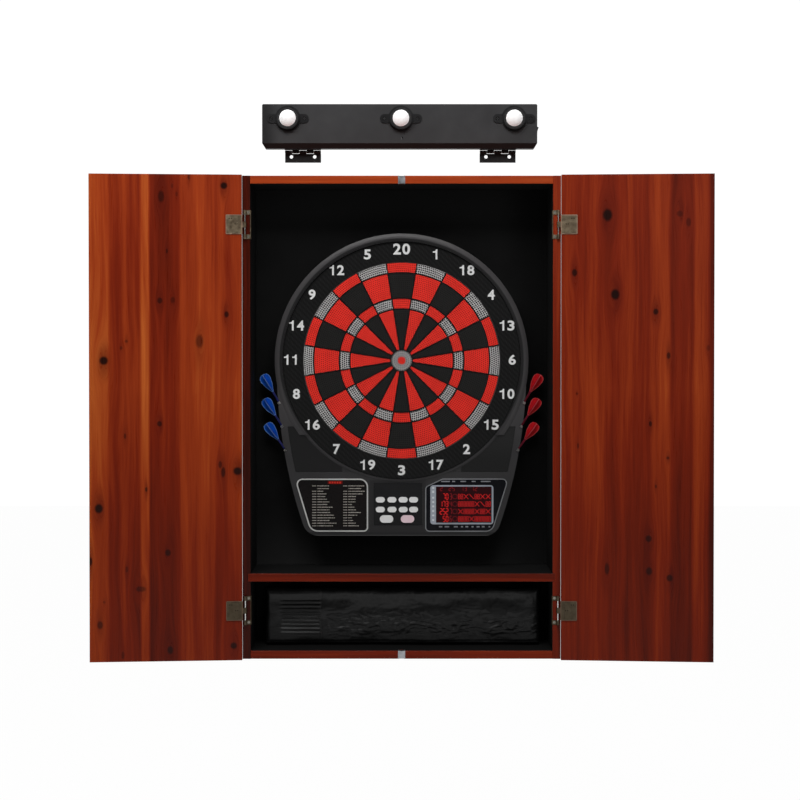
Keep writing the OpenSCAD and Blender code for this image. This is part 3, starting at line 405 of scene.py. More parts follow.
def drilled(name, colour, dark, pitch, hole_r):
    """Moulded segments with rows of small holes along circles round the bull; the holes' dark colour is
    painted shade.
    """
    def build(g):
        dx, dz, radius, turn = round_the_bull(g)
        row = g.floor(g.div(radius, pitch))
        count = g.math("ROUND", g.mul(g.add(row, 0.5), math.tau))
        out = g.mul(g.sub(g.fraction(g.div(radius, pitch)), 0.5), pitch)
        shift = g.mul(g.rest(row, 2), 0.5)
        aside = g.mul(g.sub(g.fraction(g.add(g.mul(turn, count), shift)), 0.5), pitch)
        away = g.length(out, aside)
        hole = g.step(away, hole_r + 0.2, hole_r - 0.15)
        patch = g.noise(g.place(), 0.05, 3)
        tint = g.mix(g.middle(patch), colour, toned(colour, 0.86))
        # The holes take the dark colour: painted shade inside them
        g.surface(g.mix(hole, tint, dark), g.add(0.42, g.mul(hole, 0.3)),
                  g.bump(g.sub(1, hole), 0.5, 0.7))
    return material(name, build)


def woven(name, light, dark, pitch):
    """A twill weave print: short bundles that step over and under each other."""
    def build(g):
        at = g.split(g.place())
        u, v = g.div(at[0], pitch), g.div(at[2], pitch)
        fu, fv = g.floor(u), g.floor(v)
        over = g.below(g.rest(g.absolute(g.add(fu, fv)), 4), 1.5)
        pu, pv = g.sub(g.fraction(u), 0.5), g.sub(g.fraction(v), 0.5)
        crown_u = g.sub(1, g.mul(g.mul(pu, pu), 4))
        crown_v = g.sub(1, g.mul(g.mul(pv, pv), 4))
        crown = g.add(g.mul(over, crown_u), g.mul(g.sub(1, over), g.mul(crown_v, 0.55)))
        g.surface(g.mix(crown, dark, light), g.sub(0.5, g.mul(crown, 0.15)), g.bump(crown, 0.06, 0.5))
    return material(name, build)


def plated(g, low, high, worn, pit):
    """Colour, cloud and pits of plated steel, worn through to the pit colour here and there."""
    at = g.place()
    cloud, pits = g.noise(at, 0.12, 4, 0.65), g.noise(at, 0.9, 2, 0.6)
    colour = g.mix(g.span(cloud, 0.35, 0.65), low, high)
    return g.cover(colour, (g.step(pits, 0.62, 0.72), worn, pit)), cloud, pits


def metal(name, low, high, rough, worn):
    """Plated steel: cloudy tone and fine pits."""
    def build(g):
        colour, cloud, pits = plated(g, low, high, worn, toned(low, 0.35))
        g.surface(
            colour, g.middle(cloud, rough - 0.08, rough + 0.1), g.bump(g.mul(pits, 0.4), 0.06, 0.5))
    return material(name, build, Metallic=1)


def back_paint(g):
    """Thin black paint in soft patches, with painted light on both ends of the case against the shade of its
    top and bottom, and painted shade on the right.
    """
    at = g.place()
    aside, height = g.split(at)[0], g.split(at)[2]
    patch, fine = g.noise(at, 0.012, 3), g.noise(at, 0.9, 3, 0.6)
    ends = g.most(g.step(height, 300, 440), g.step(height, -200, -330))
    # The lighter ends are painted light against the panels' shade; the darker right is painted shade
    colour = g.cover(
        g.mix(g.middle(patch), grey(18), grey(25)), (ends, 0.7, grey(46)),
        (g.step(aside, 190, 270), 0.6, grey(6)))
    g.surface(colour, g.middle(patch, 0.74, 0.86), g.bump(fine, 0.08, 0.6))


paint(material("back_paint", back_paint, shine=0.05), "back_panel")
PLATE_HALF = 19.25  # half the height of a door plate, and its length
PLATE_LONG = 32.5
SHADED_DENTS = ((7, 11.7), (11.2, 11.7), (18.7, 0.8), (22.6, 0.8))  # pairs of small dents darkened with painted shade, from the plate's outer end, and up
hinge_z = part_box("hinge_plates_left")[1].z / MM - PLATE_HALF
plate_end = -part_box("hinge_plates_left")[0].x / MM


def nickel(g):
    """Satin nickel: cloudy and brushed, with a painted highlight round the edge of each door plate, pairs of
    small dents darkened with painted shade, and painted shade that deepens towards the bottom.
    """
    x, y, z = g.split(g.place())[:3]
    colour, cloud, pits = plated(g, (112, 98, 80), (140, 126, 104), 0.3, (48, 40, 28))
    lines = g.noise(g.join(g.mul(x, 2.2), g.mul(y, 2.2), g.mul(z, 0.06)), 1, 2)
    out = g.absolute(x)
    up = g.sub(g.absolute(z), hinge_z)
    rise = g.mul(up, g.math("SIGN", z))
    edge = g.least(g.sub(plate_end, out), g.sub(out, plate_end - PLATE_LONG))
    edge = g.least(edge, g.sub(PLATE_HALF, g.absolute(up)))
    marks = 0
    for mx, mz in SHADED_DENTS:
        away = g.length(g.sub(out, plate_end - mx), g.sub(rise, mz))
        marks = g.most(marks, g.step(away, 1.6, 0.8))
    # Painted highlight round each plate's edge, painted shade in the dents and towards the bottom
    colour = g.cover(
        colour, (g.between(edge, -0.4, -0.1, 1.5, 2.1), 0.7, (182, 150, 128)),
        (marks, 0.85, (30, 22, 12)), (g.span(z, -420, 260, 0.68, 0), 1, (30, 26, 20)))
    g.surface(colour, g.middle(cloud, 0.34, 0.52),
              g.bump(g.sub(g.add(g.mul(lines, 0.5), g.mul(pits, 0.4)), marks), 0.06, 0.5))


paint(material("satin_nickel", nickel, Metallic=1), "hinge_frame_leaves", "hinge_plates_left",
      "hinge_plates_right", "door_screws_left", "door_screws_right")
for name, low, high, rough, worn, *names in (
        ("pin_steel", (196, 196, 194), (224, 224, 222), 0.25, 0.1, "hinge_pins"),
        ("screw_steel", (120, 116, 106), (160, 156, 146), 0.38, 0.3, "frame_hinge_screws"),
        ("catch_steel", (150, 152, 156), (186, 188, 192), 0.35, 0.3, "magnetic_catches"),
        ("knob_nickel", (170, 164, 150), (200, 195, 182), 0.28, 0.1, "knob_left", "knob_right")):
    paint(metal(name, low, high, rough, worn), *names)

# Radii in mm: the number ring's edge, the outer edge at the top of the painted shade on the rim's inner
# slope, and the rim's crest
RING_EDGE, SLOPE_SHADE_TOP, CREST = 240.3, 245.8, 246.8
RECESS = (0.9, 1.3, 1.7, 2.1)  # depths behind the front face between which the recesses' floors lie
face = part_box("keypad_plate")[0].y / MM - 0.5
box_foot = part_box("board_front_housing")[0].z / MM


def housing(g):
    """Moulded plastic: a painted highlight on the rim's crest at the top and on the bottom edge, and painted
    shade on the rim's inner slope beside the numbers, in the recesses and along the bottom.
    """
    at = g.place()
    x, y, z = g.split(at)[:3]
    radius = round_the_bull(g)[2]
    patch, fine = g.noise(at, PATCH, 3), g.noise(at, 1.1, 3, 0.6)
    crest = g.mul(g.step(radius, CREST - 0.6, CREST + 0.6), g.step(z, -60, 20))
    border = g.step(g.sub(radius, g.span(z, -40, 70, RING_EDGE, SLOPE_SHADE_TOP)), 0.5, -0.5)
    middle = g.mul(g.step(g.absolute(g.add(x, 8)), 60, 54), g.step(z, -126, -132))
    low = g.mul(g.between(y, *[face + depth for depth in RECESS]), g.step(g.absolute(x), 118, 122))
    low = g.mul(low, g.mul(g.step(radius, 244.5, 245.5), g.step(z, -126, -118)))
    shade = g.mix(g.step(x, -10, 10), (9, 8, 9), g.mix(g.step(z, -100, -40), grey(7), grey(24)))
    # Painted highlights on the crest and the bottom edge; painted shade on the inner slope, in the recesses
    # and along the bottom
    colour = g.cover(
        g.mix(g.middle(patch), (42, 41, 42), (50, 49, 50)),
        (crest, 1, g.mix(patch, (56, 54, 55), (66, 64, 65))), (border, 1, (17, 16, 17)),
        (middle, 1, (33, 32, 33)), (g.step(z, -233, -236), 1, (24, 24, 25)),
        (g.step(z, box_foot + 2.2, box_foot + 1.4), 0.8, (66, 65, 66)), (low, 1, shade))
    g.surface(colour, g.middle(g.noise(at, CLOUD, 2), 0.36, 0.48), g.bump(fine, 0.05, 0.6))


paint(material("housing_plastic", housing, shine=0.3), "board_front_housing")


def web(g):
    """Moulded web: near black, with a painted highlight on its lip outside the doubles."""
    radius = round_the_bull(g)[2]
    patch = g.noise(g.place(), 0.02, 3)
    # The grey lip outside the doubles is a painted highlight
    colour = g.cover(
        g.mix(g.middle(patch), (14, 14, 15), (24, 24, 25)),
        (g.between(radius, 197.6, 198.4, 200.4, 201.4), 0.8, (72, 71, 70)))
    g.surface(
        colour, g.middle(patch, 0.34, 0.46), g.bump(g.noise(g.place(), 0.9, 3, 0.6), 0.05, 0.6))


paint(material("web_black", web), "spider")
paint(woven("carbon_print", grey(33), grey(2), 2.7), "number_ring")
paint(drilled("segments_black", (37, 36, 35), grey(12), 3.9, 1), "single_segments_black")
paint(drilled("segments_red", (252, 58, 47), (160, 22, 18), 3.9, 1.05), "single_segments_red",
      "ring_segments_red", "bull_inner")
paint(drilled("segments_grey", (206, 204, 203), grey(26), 4.2, 1.6), "ring_segments_grey", "bull_outer")
for name, low, high, rough, grain, depth, *names in (
        ("black_plastic", (18, 18, 19), (27, 27, 28), 0.45, 1.1, 0.05, "board_rear_housing", "dart_holders"),
        ("keypad_black", (28, 28, 29), (34, 34, 35), 0.5, 1.3, 0.04, "keypad_plate"),
        ("membrane_rubber", (24, 24, 24), (33, 33, 33), 0.8, 0.6, 0.05, "sensor_membrane"),
        ("fibre_board", (112, 92, 66), (134, 112, 84), 0.85, 0.6, 0.05, "backing_board"),
        ("circuit_laminate", (22, 70, 38), (30, 88, 48), 0.4, 0.6, 0.05, "circuit_board"),
        ("switch_black", (34, 34, 36), (42, 42, 44), 0.4, 0.6, 0.05, "rocker_switch"),
        ("key_white", (240, 240, 239), (250, 250, 249), 0.35, 0.9, 0.02, "key_enter",
         *[f"key_{i + 1}" for i in range(8)]),
        ("key_rose", (246, 214, 222), (250, 226, 232), 0.35, 0.9, 0.02, "key_start"),
        ("games_card", (15, 12, 12), (21, 17, 17), 0.32, 0.6, 0.02, "games_panel"),
        ("display_face", (9, 10, 15), (14, 15, 21), 0.2, 0.6, 0.01, "display_window"),
        ("leaf_coat", (32, 32, 33), (41, 41, 42), 0.5, 1.6, 0.05, "light_bar_leaves", "light_wall_leaves")):
    paint(plain(name, low, high, rough, grain, depth), *names)
lens_low, lens_high = (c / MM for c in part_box("lamp_lenses"))
lens_r = (lens_high.z - lens_low.z) / 2
lens_mid = (lens_low + lens_high) / 2
EAR = 34  # from a lamp's centre to the screw in its ear
RIDGES = 48  # ridges round a lamp's skirt


def lamp_base(g):
    """Moulded lamp base: a ridged skirt round the lens and a dark screw head with a worn slot in each ear."""
    at = g.place()
    x, y, z = g.split(at)[:3]
    fine, patch = g.noise(at, 0.45, 3, 0.6), g.noise(at, 0.02, 3)
    ridges, heads, slots = 0, 0, 0
    dz = g.sub(z, lens_mid.z)
    for centre in (lens_low.x + lens_r, lens_mid.x, lens_high.x - lens_r):
        dx = g.sub(x, centre)
        radius = g.length(dx, dz)
        turn = g.mul(g.angle(dz, dx), RIDGES / math.tau)
        tooth = g.step(g.fold(turn, 0.5), 0.15, 0.35)
        ridges = g.most(ridges, g.mul(tooth, g.between(radius, 17, 17.6, 20.8, 21.6)))
        for side in (-EAR, EAR):
            ex = g.sub(dx, side)
            away = g.length(ex, dz)
            heads = g.most(heads, g.step(away, 4.3, 3.7))
            cross = g.step(g.least(g.absolute(ex), g.absolute(dz)), 0.8, 0.4)
            slots = g.most(slots, g.mul(cross, g.step(away, 3, 2.4)))
    colour = g.cover(
        g.mix(g.middle(patch), (27, 27, 28), (35, 35, 36)), (ridges, 0.7, (62, 62, 63)),
        (heads, 1, grey(10)), (slots, 0.8, grey(84)))
    g.surface(colour, g.middle(patch, 0.34, 0.46),
              g.bump(g.add(g.mul(fine, 0.3), g.sub(ridges, slots)), 0.1, 0.6))


paint(material("lamp_black", lamp_base), "lamp_bases")
# The lenses glow faintly though the lamps are off: painted light that evens out their shading
paint(plain("lens_white", (249, 249, 249), (252, 252, 252), 0.22, Emission_Strength=0.13), "lamp_lenses")


# ---- print, numbers and display

def closed(bm, name):
    """A mesh of the built faces, all facing out."""
    bmesh.ops.recalc_face_normals(bm, faces=bm.faces)
    mesh = bpy.data.meshes.new(name)
    bm.to_mesh(mesh)
    bm.free()
    return mesh


def walls(bm, a, b):
    """Faces between two loops of vertices."""
    for i in range(len(a)):
        j = (i + 1) % len(a)
        bm.faces.new((a[i], a[j], b[j], b[i]))


def drawn(name, shapes, body, mat):
    """One mesh of closed thin shapes. Each shape is (outline of (x, z), hole or None, back, front) in mm,
    back and front being distances from the wall."""
    bm = bmesh.new()
    for outline, hole, back, ahead in shapes:
        rings = [[[bm.verts.new((x * MM, -w * MM, z * MM)) for x, z in loop] for w in (back, ahead)]
                 for loop in (outline, hole) if loop]
        for low, high in rings:
            walls(bm, low, high)
        for level in (0, 1):
            if hole:
                walls(bm, rings[0][level], rings[1][level])
            else:
                bm.faces.new(rings[0][level])
    return put_piece(name, closed(bm, name), body, mat)


def put_piece(name, mesh, body, mat):
    made = placed(name, mesh)
    mesh.materials.append(mat)
    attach(made, body)
    return made


def bar(x0, x1, z0, z1):
    return [(x0, z0), (x1, z0), (x1, z1), (x0, z1)]


def disc(cx, cz, r, n=24):
    return [(cx + r * math.cos(math.tau * i / n), cz + r * math.sin(math.tau * i / n)) for i in range(n)]


def front_of(node):
    """Distance from the wall, in mm, of the node's front."""
    return -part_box(node)[0].y / MM


def outline_of(node):
    """The front outline of a flat convex node, as (x, z) in mm, anticlockwise."""
    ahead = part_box(node)[0].y
    mesh = nodes[node]
    points = {(round(p.x / MM, 3), round(p.z / MM, 3))
              for p in (mesh.matrix_world @ v.co for v in mesh.data.vertices) if p.y < ahead + 1e-5}
    cx, cz = (sum(p[i] for p in points) / len(points) for i in (0, 1))
    return sorted(points, key=lambda p: math.atan2(p[1] - cz, p[0] - cx))


def inset(loop, d):
    """The loop moved in by d mm."""
    out, n = [], len(loop)
    for i in range(n):
        (ax, az), (px, pz), (bx, bz) = loop[i - 1], loop[i], loop[(i + 1) % n]
        la, lb = math.hypot(px - ax, pz - az), math.hypot(bx - px, bz - pz)
        nx, nz = -(pz - az) / la - (bz - pz) / lb, (px - ax) / la + (bx - px) / lb
        size = nx * nx + nz * nz
        out.append((px + 2 * d * nx / size, pz + 2 * d * nz / size))
    return out


ONE = [(-0.03, -0.5), (0.155, -0.5), (0.155, 0.5), (0.02, 0.5), (-0.03, 0.39), (-0.13, 0.32), (-0.29, 0.3),
       (-0.29, 0.17), (-0.03, 0.17)]
WIDE, BOLD, ADVANCE = 0.7, 0.03, 0.82  # a digit's width, its stroke's thickening and its cell, in heights


def glyph(char):
    """Outline of a plain bold digit, one unit high and centred on its cell."""
    if char == "1":
        return ONE, [tuple(range(len(ONE)))]
    curve = bpy.data.curves.new("glyph", "FONT")
    curve.body, curve.offset, curve.resolution_u = char, BOLD, 4
    holder = placed("glyph", curve)
    bpy.context.view_layer.update()
    mesh = bpy.data.meshes.new_from_object(holder.evaluated_get(bpy.context.evaluated_depsgraph_get()))
    bpy.data.objects.remove(holder)
    bpy.data.curves.remove(curve)
    low = [min(v.co[i] for v in mesh.vertices) for i in (0, 1)]
    size = [max(v.co[i] for v in mesh.vertices) - low[i] for i in (0, 1)]
    points = [(((v.co.x - low[0]) / size[0] - 0.5) * WIDE, (v.co.y - low[1]) / size[1] - 0.5)
              for v in mesh.vertices]
    faces = [tuple(p.vertices) for p in mesh.polygons]
    bpy.data.meshes.remove(mesh)
    return points, faces


def numeral(text, height):
    """Outlines of a number of the given height in mm, centred on the origin."""
    points, faces = [], []
    for i, char in enumerate(text):
        shift, base = (i - (len(text) - 1) / 2) * ADVANCE, len(points)
        shape, fills = glyph(char)
        points += [((x + shift) * height, y * height) for x, y in shape]
        faces += [tuple(base + v for v in fill) for fill in fills]
    return points, faces


DIAL_ORDER = (20, 1, 18, 4, 13, 6, 10, 15, 2, 17, 3, 19, 7, 16, 8, 11, 14, 9, 12, 5)
DIAL_R = 223.3  # radius of the numbers' circle, and how far its centre lies above the bull
DIAL_UP = 1.7
NUMBER_HIGH, TWENTY_HIGH = 20.5, 22.5


def dial_numbers():
    """The numbers round the dial, each a thin raised print on the ring."""
    base = front_of("number_ring")
    bm = bmesh.new()
    for i, number in enumerate(DIAL_ORDER):
        a = math.tau * i / len(DIAL_ORDER)
        cx, cz = bull.x + DIAL_R * math.sin(a), bull.z + DIAL_UP + DIAL_R * math.cos(a)
        points, faces = numeral(str(number), TWENTY_HIGH if number == 20 else NUMBER_HIGH)
        edges = {}
        levels = [[bm.verts.new(((cx + x) * MM, -(base + w) * MM, (cz + z) * MM)) for x, z in points]
                  for w in (-0.2, 0.3)]
        for face in faces:
            bm.faces.new([levels[1][v] for v in face])
            bm.faces.new([levels[0][v] for v in reversed(face)])
            for j, v in enumerate(face):
                edges.setdefault(frozenset((v, face[j - 1])), []).append((face[j - 1], v))
        for sides in edges.values():
            if len(sides) == 1:
                u, v = sides[0]
                bm.faces.new((levels[0][u], levels[0][v], levels[1][v], levels[1][u]))
    put_piece(
        "dial_numbers", closed(bm, "dial_numbers"), "cabinet",
        plain("number_print", (226, 226, 225), (238, 238, 237), 0.45, shine=0.2))


def printed(name, card, loops, rise, mat, sunk=0.4, fan=0):
    """Thin raised print on a card, given as (node, slot); the slot is not used. A loop is an outline, or a
    pair of it and its hole.
    fan lifts each next loop a little, so that crossing strokes never share a face."""
    base = front_of(card[0])
    pairs = [loop if isinstance(loop, tuple) else (loop, None) for loop in loops]
    shapes = [(*pair, base - sunk, base + rise + fan * (i % 9)) for i, pair in enumerate(pairs)]
    return drawn(name, shapes, "cabinet", mat)


GAMES = ("games_panel", "games_card")
LIST_TOP, LIST_PITCH, LETTER_HIGH = -141.9, 5.38, 1.5
CODE_DASHES = ((0, 2.4), (2.9, 5), (5.5, 7.8))
WORD_START = 10.2
# Left edge of each column of the list, and where its lines end
LIST_COLUMNS = (
    (-180.3, (-146, -146, -158.3, -151.8, -152.4, -150.8, -146.1, -150.2, -138.3, -145, -144.5, -136.7,
              -134.8, -143.9, -131.6, -136.7)),
    (-117.8, (-74.4, -81.7, -73.9, -78.3, -92.4, -92.8, -92.4, -100.3, -95.6, -92.4, -81.7, -89.6,
              -100.3, -97.9, -92.4, -86.5)))


def words(x, ends, rng):
    """Rows of short dashes that stand for a printed list: a code, then a broken line up to each end."""
    out = []
    for row, end in enumerate(ends):
        z = LIST_TOP - LIST_PITCH * row
        if row != 1:
            out += [bar(x + a, x + b, z, z + LETTER_HIGH) for a, b in CODE_DASHES]
        at = x + WORD_START
        while at < end - 1:
            stop = min(at + rng.choice((1.1, 1.6, 2.2, 3)), end)
            lift = rng.choice((0, 0, 0.25))
            out.append(bar(at, stop, z, z + LETTER_HIGH + lift))
            at = stop + rng.choice((0.35, 0.45, 1.1))
    return out


def games_print():
    """A silver border, a red header with marks for its word, and two columns of lines."""
    loop = outline_of(GAMES[0])
    printed(
        "games_border", GAMES, [(inset(loop, 0.3), inset(loop, 3))], 0.3,
        plain("border_silver", (186, 186, 184), (206, 206, 203), 0.35, shine=0.3))
    rng = random.Random(5)
    lines = [line for left, ends in LIST_COLUMNS for line in words(left, ends, rng)]
    printed(
        "games_list", GAMES, lines, 0.2,
        plain("print_pale", (172, 166, 158), (190, 184, 176), 0.5, shine=0.2))
    printed("games_header", GAMES, [bar(-149, -119.2, -137.4, -130.8)], 0.15,
            plain("print_red", (92, 14, 12), (118, 20, 15), 0.5, grain=0.9))
    marks = [bar(-146.5 + 5.1 * i, -142.8 + 5.1 * i, -136.2, -132.4) for i in range(5)]
    printed(
        "games_header_marks", GAMES, marks, 0.25, plain("print_orange", (196, 42, 32), (214, 60, 42), 0.5))


SEGMENTS = {"a": ((0.12, 1), (0.88, 1)), "b": ((1, 0.9), (1, 0.58)), "c": ((1, 0.42), (1, 0.1)),
            "d": ((0.12, 0), (0.88, 0)), "e": ((0, 0.42), (0, 0.1)), "f": ((0, 0.9), (0, 0.58)),
            "g": ((0.15, 0.5), (0.85, 0.5))}
DIGITS = {"0": "abcdef", "1": "bc", "2": "abged", "3": "abgcd", "4": "fgbc", "5": "afgcd", "6": "afgecd",
          "7": "abc", "8": "abcdefg"}


TIP_SHIFT = 0.2  # how far a stroke's pointed ends lie off its middle, in half widths


def stroke(ax, az, bx, bz, wide):
    """A bar of the given width between two points, pointed at both ends."""
    size = math.hypot(bx - ax, bz - az)
    ux, uz = (bx - ax) / size * wide / 2, (bz - az) / size * wide / 2
    tip_x, tip_z = ux + uz * TIP_SHIFT, uz - ux * TIP_SHIFT
    return [(ax - uz, az + ux), (ax - tip_x, az - tip_z), (ax + uz, az - ux), (bx + uz, bz - ux),
            (bx + tip_x, bz + tip_z), (bx - uz, bz + ux)]


def digit(char, x, z, wide, high, line):
    """Seven-segment strokes of one digit whose foot's left end is at (x, z)."""
    return [stroke(x + ax * wide, z + az * high, x + bx * wide, z + bz * high, line)
            for (ax, az), (bx, bz) in (SEGMENTS[s] for s in DIGITS[char])]


def lit(name, low, high, power):
    """A lit segment: an even glow with a slight cloud in its tone."""
    def build(g):
        colour = g.mix(g.noise(g.place(), 0.12, 3), low, high)
        g.feed(g.shader.inputs["Base Color"], colour)
        g.feed(g.shader.inputs["Emission Color"], colour)
        g.feed(g.shader.inputs["Normal"], g.bump(g.noise(g.place(), 0.8, 2), 0.02, 0.4))
    return material(name, build, Roughness=0.4, Emission_Strength=power)


def rounded(a, b, c, d, r, steps=5):
    """A rectangle from x = a to b and z = c to d, with corners of radius r."""
    out = []
    for cx, cz, turn in ((b - r, c + r, -90), (b - r, d - r, 0), (a + r, d - r, 90), (a + r, c + r, 180)):
        for i in range(steps + 1):
            t = math.radians(turn + 90 * i / steps)
            out.append((cx + r * math.cos(t), cz + r * math.sin(t)))
    return out


SCREEN = ("display_window", "display_face")
FRAME = (58, 185.4, -218.8, -139.6)  # the silver frame's outside and the glass in it, as x, x, z, z
GLASS = (69.4, 181.8, -215.6, -142.4)
TOP_ROW = (("2", 78), ("25", 95.5), ("13", 120), ("12", 141))  # digits, and where they start
TOP_FOOT, TOP_STEP = -151, 7.2
ROWS = (("70", "3", "8x\\8xx"), ("173", "4", "888x\\8"), ("252", "7", "x88x8x"), ("50", "6", "88x888"))
ROW_FOOT, ROW_PITCH = -168.2, 15.06
SCORE_END, SCORE_STEP = 89.8, 6
TURN_X, RING_X, RING_R, RING_SIDES = 97.5, 107.6, 4.8, 20
MARK_X, MARK_PITCH = 119, 11.15
MARK_WIDE, MARK_HIGH, TWIN = 4.4, 4.8, 2.7  # half sizes of a mark, and of the gap between a cell's two digits


def lit_rows():
    """Strokes of a generic score: bright ones for scores and marks, dim ones for rings and side figures."""
    bright, dim = [], []
    for text, x in TOP_ROW:
        for i, char in enumerate(text):
            dim += digit(char, x + TOP_STEP * i, TOP_FOOT, 4.2, 8.6, 1.1)
    for row, (score, turn, marks) in enumerate(ROWS):
        foot = ROW_FOOT - ROW_PITCH * row
        for i, char in enumerate(score):
            bright += digit(char, SCORE_END - SCORE_STEP * (len(score) - 1 - i), foot, 4, 11.2, 1.5)
        dim += digit(turn, TURN_X, foot, 3.6, 11.2, 1.3)
        cz = foot + 5.6
        ring = disc(RING_X, cz, RING_R, RING_SIDES)
        dim += [stroke(*ring[i], *ring[(i + 1) % RING_SIDES], 0.7) for i in range(RING_SIDES)]
        for i, mark in enumerate(marks):
            cx = MARK_X + MARK_PITCH * i
            if mark == "8":
                for ox in (-TWIN, TWIN):
                    bright += digit("8", cx + ox - 1.9, foot + 0.6, 3.8, 9.8, 0.9)
                    dim.append(stroke(cx + ox - 1.9, foot + 1, cx + ox + 1.9, foot + 10, 0.8))
            else:
                bright.append(stroke(cx - MARK_WIDE, cz + MARK_HIGH, cx + MARK_WIDE, cz - MARK_HIGH, 1))
            if mark == "x":
                bright.append(stroke(cx - MARK_WIDE, cz - MARK_HIGH, cx + MARK_WIDE, cz + MARK_HIGH, 1))
    return bright, dim


# Bars that stand for words: start and width over and under the frame, then foot and height beside the glass
LABELS_OVER = ((80, 17.5), (102, 6), (119, 11), (141.5, 8), (160, 19.5))
LABELS_UNDER = ((75.6, 6.5), (87, 9), (105.5, 8), (120, 4), (129, 5.5), (141.3, 4), (151.4, 6), (162, 5.5),
                (175.6, 3.5))
LABELS_BESIDE = ((-147, 4), (-155.5, 5), (-167, 4), (-175.5, 3.5), (-184.5, 4), (-194, 4.5), (-202.5, 3.5),
                 (-212, 4))


def display():
    loop = outline_of(SCREEN[0])
    printed("display_border", SCREEN, [(inset(loop, 0.2), inset(loop, 2.3))], 0.3,
            plain("border_grey", (122, 123, 126), (140, 141, 144), 0.35))
    printed("display_frame", SCREEN, [(rounded(*FRAME, 6), rounded(*GLASS, 0.6))], 0.35,
            plain("frame_silver", (156, 163, 174), (178, 184, 194), 0.35))
    x0, x1, z0, z1 = GLASS
    printed("display_glass", SCREEN, [rounded(x0 - 0.2, x1 + 0.2, z0 - 0.2, z1 + 0.2, 0.5)], 0.08,
            lit("glass_maroon", (30, 1, 4), (40, 3, 7), 0.2))
    bright, dim = lit_rows()
    printed("display_digits", SCREEN, bright, 0.12,
            lit("segment_lit", (180, 20, 26), (212, 44, 38), 0.35), sunk=0.2, fan=0.002)
    printed("display_marks", SCREEN, dim, 0.1,
            lit("segment_dim", (112, 18, 26), (136, 34, 36), 0.22), sunk=0.2, fan=0.002)
    labels = [bar(a, a + w, -133.2, -130.9) for a, w in LABELS_OVER]
    labels += [bar(a, a + w, -225, -222.3) for a, w in LABELS_UNDER]
    printed("display_labels", SCREEN, labels, 0.2,
            plain("label_grey", (118, 118, 124), (150, 150, 156), 0.5, grain=0.3))
    printed("display_side_marks", SCREEN, [bar(61.6, 65.8, z, z + h) for z, h in LABELS_BESIDE], 0.5,
            plain("mark_white", (206, 210, 214), (226, 229, 232), 0.4), sunk=0.2)


dial_numbers()
games_print()
display()


# ---- darts

FLIGHT_L, COLLAR_L, SHAFT_L = 40, 5, 24
METAL_L = 70  # point and barrel
TIP_R, WING_R = 0.6, 22
DART_LEAN = (31, 33.3, 36)
# Half width of a flight along its length, both as shares
WING = ((0, 0.1), (0.42, 0.4), (0.7, 0.5), (0.85, 0.47), (0.96, 0.34), (1, 0.12))


def dart_paint(name, lean, wing, edge, shaft):
    """Metal barrel and point, pale collar, tinted shaft, and flights with a light edge."""
    low, high = (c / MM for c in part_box(name))
    right = low.x + high.x > 0
    lean = math.radians(lean) * (1 if right else -1)
    up = Vector((math.sin(lean), 0, math.cos(lean)))
    tip_in = TIP_R * math.cos(lean)
    tip = Vector((low.x + tip_in if right else high.x - tip_in, (low.y + high.y) / 2,
                  low.z + TIP_R * abs(math.sin(lean))))
    foot = tip + up * METAL_L

    def build(g):
        at = g.split(g.place())
        d = [g.sub(at[i], foot[i]) for i in range(3)]
        run = g.add(g.mul(d[0], up.x), g.mul(d[2], up.z))
        aside = g.sub(g.mul(d[0], up.z), g.mul(d[2], up.x))
        radius = g.most(g.absolute(aside), g.absolute(d[1]))
        along = g.div(g.sub(run, COLLAR_L + SHAFT_L), FLIGHT_L)
        reach = g.mul(g.curve(along, WING), WING_R)
        in_wing = g.step(along, -0.005, 0.005)
        rim = g.most(g.step(g.sub(reach, radius), 1.3, 0.7), g.step(along, 0.965, 0.985))
        cloud = g.noise(g.place(), 0.15, 3)
        barrel = g.step(run, 0.1, -0.1)
        rings = g.step(g.fold(run, 1.2), 0.5, 0.7)
        colour = g.cover(
            g.mix(g.middle(cloud), wing, toned(wing, 0.8)),
            (g.mul(in_wing, g.step(radius, 2.2, 1.4)), 0.5, shaft), (g.mul(in_wing, rim), 0.75, edge),
            (g.step(run, COLLAR_L + SHAFT_L + 0.2, COLLAR_L + SHAFT_L - 0.2), 1, shaft),
            (g.step(run, COLLAR_L + 0.1, COLLAR_L - 0.1), 1, (222, 218, 214)),
            (barrel, 1, g.mix(rings, (58, 56, 54), (150, 146, 140))))
        g.feed(g.shader.inputs["Metallic"], barrel)
        height = g.add(g.mul(barrel, rings), g.mul(g.noise(g.place(), 0.9, 2), 0.2))
        g.surface(colour, g.middle(cloud, 0.3, 0.42), g.bump(height, 0.15, 0.5))
    paint(material(name, build), name)


for i, lean in enumerate(DART_LEAN):
    dart_paint(f"dart_blue_{i + 1}", lean, (14, 88, 204), (128, 170, 226), (58, 62, 134))
    dart_paint(f"dart_red_{i + 1}", lean, (212, 24, 34), (226, 96, 96), (140, 40, 60))


# ---- storage bag

BAG_CELLS = (220, 64)  # grid cells across and up
RIM_BACK = 19  # how far the seam between front and back lies behind the front, in mm
SEAM_AT, RIBS_AT = 0.205, 0.055  # shares of the bag's width
RIBS_FOOT, RIBS_TOP, RIBS = 0.2, 0.8, 9  # shares of its height, and how many ribs


def wave(x, y, z):
    return noise.noise(Vector((x, y, z)))


def swell(d, reach, rise):
    """A quarter round from 0 at d = 0 up to rise at d = reach."""
    t = max(0, min(1, d / reach))
    return rise * math.sqrt(max(0, 1 - (1 - t) ** 2))


def fade(value, a, b):
    """0 at a and 1 at b, with soft ends."""
    t = max(0, min(1, (value - a) / (b - a)))
    return t * t * (3 - 2 * t)


def groove(d, width):
    """1 at d = 0, fading away on both sides."""
    return math.exp(-(d / width) ** 2)


def crease(value, narrow, sharp):
    """A ridge where the value passes through 0."""
    return max(0, 1 - abs(value) * narrow) ** sharp


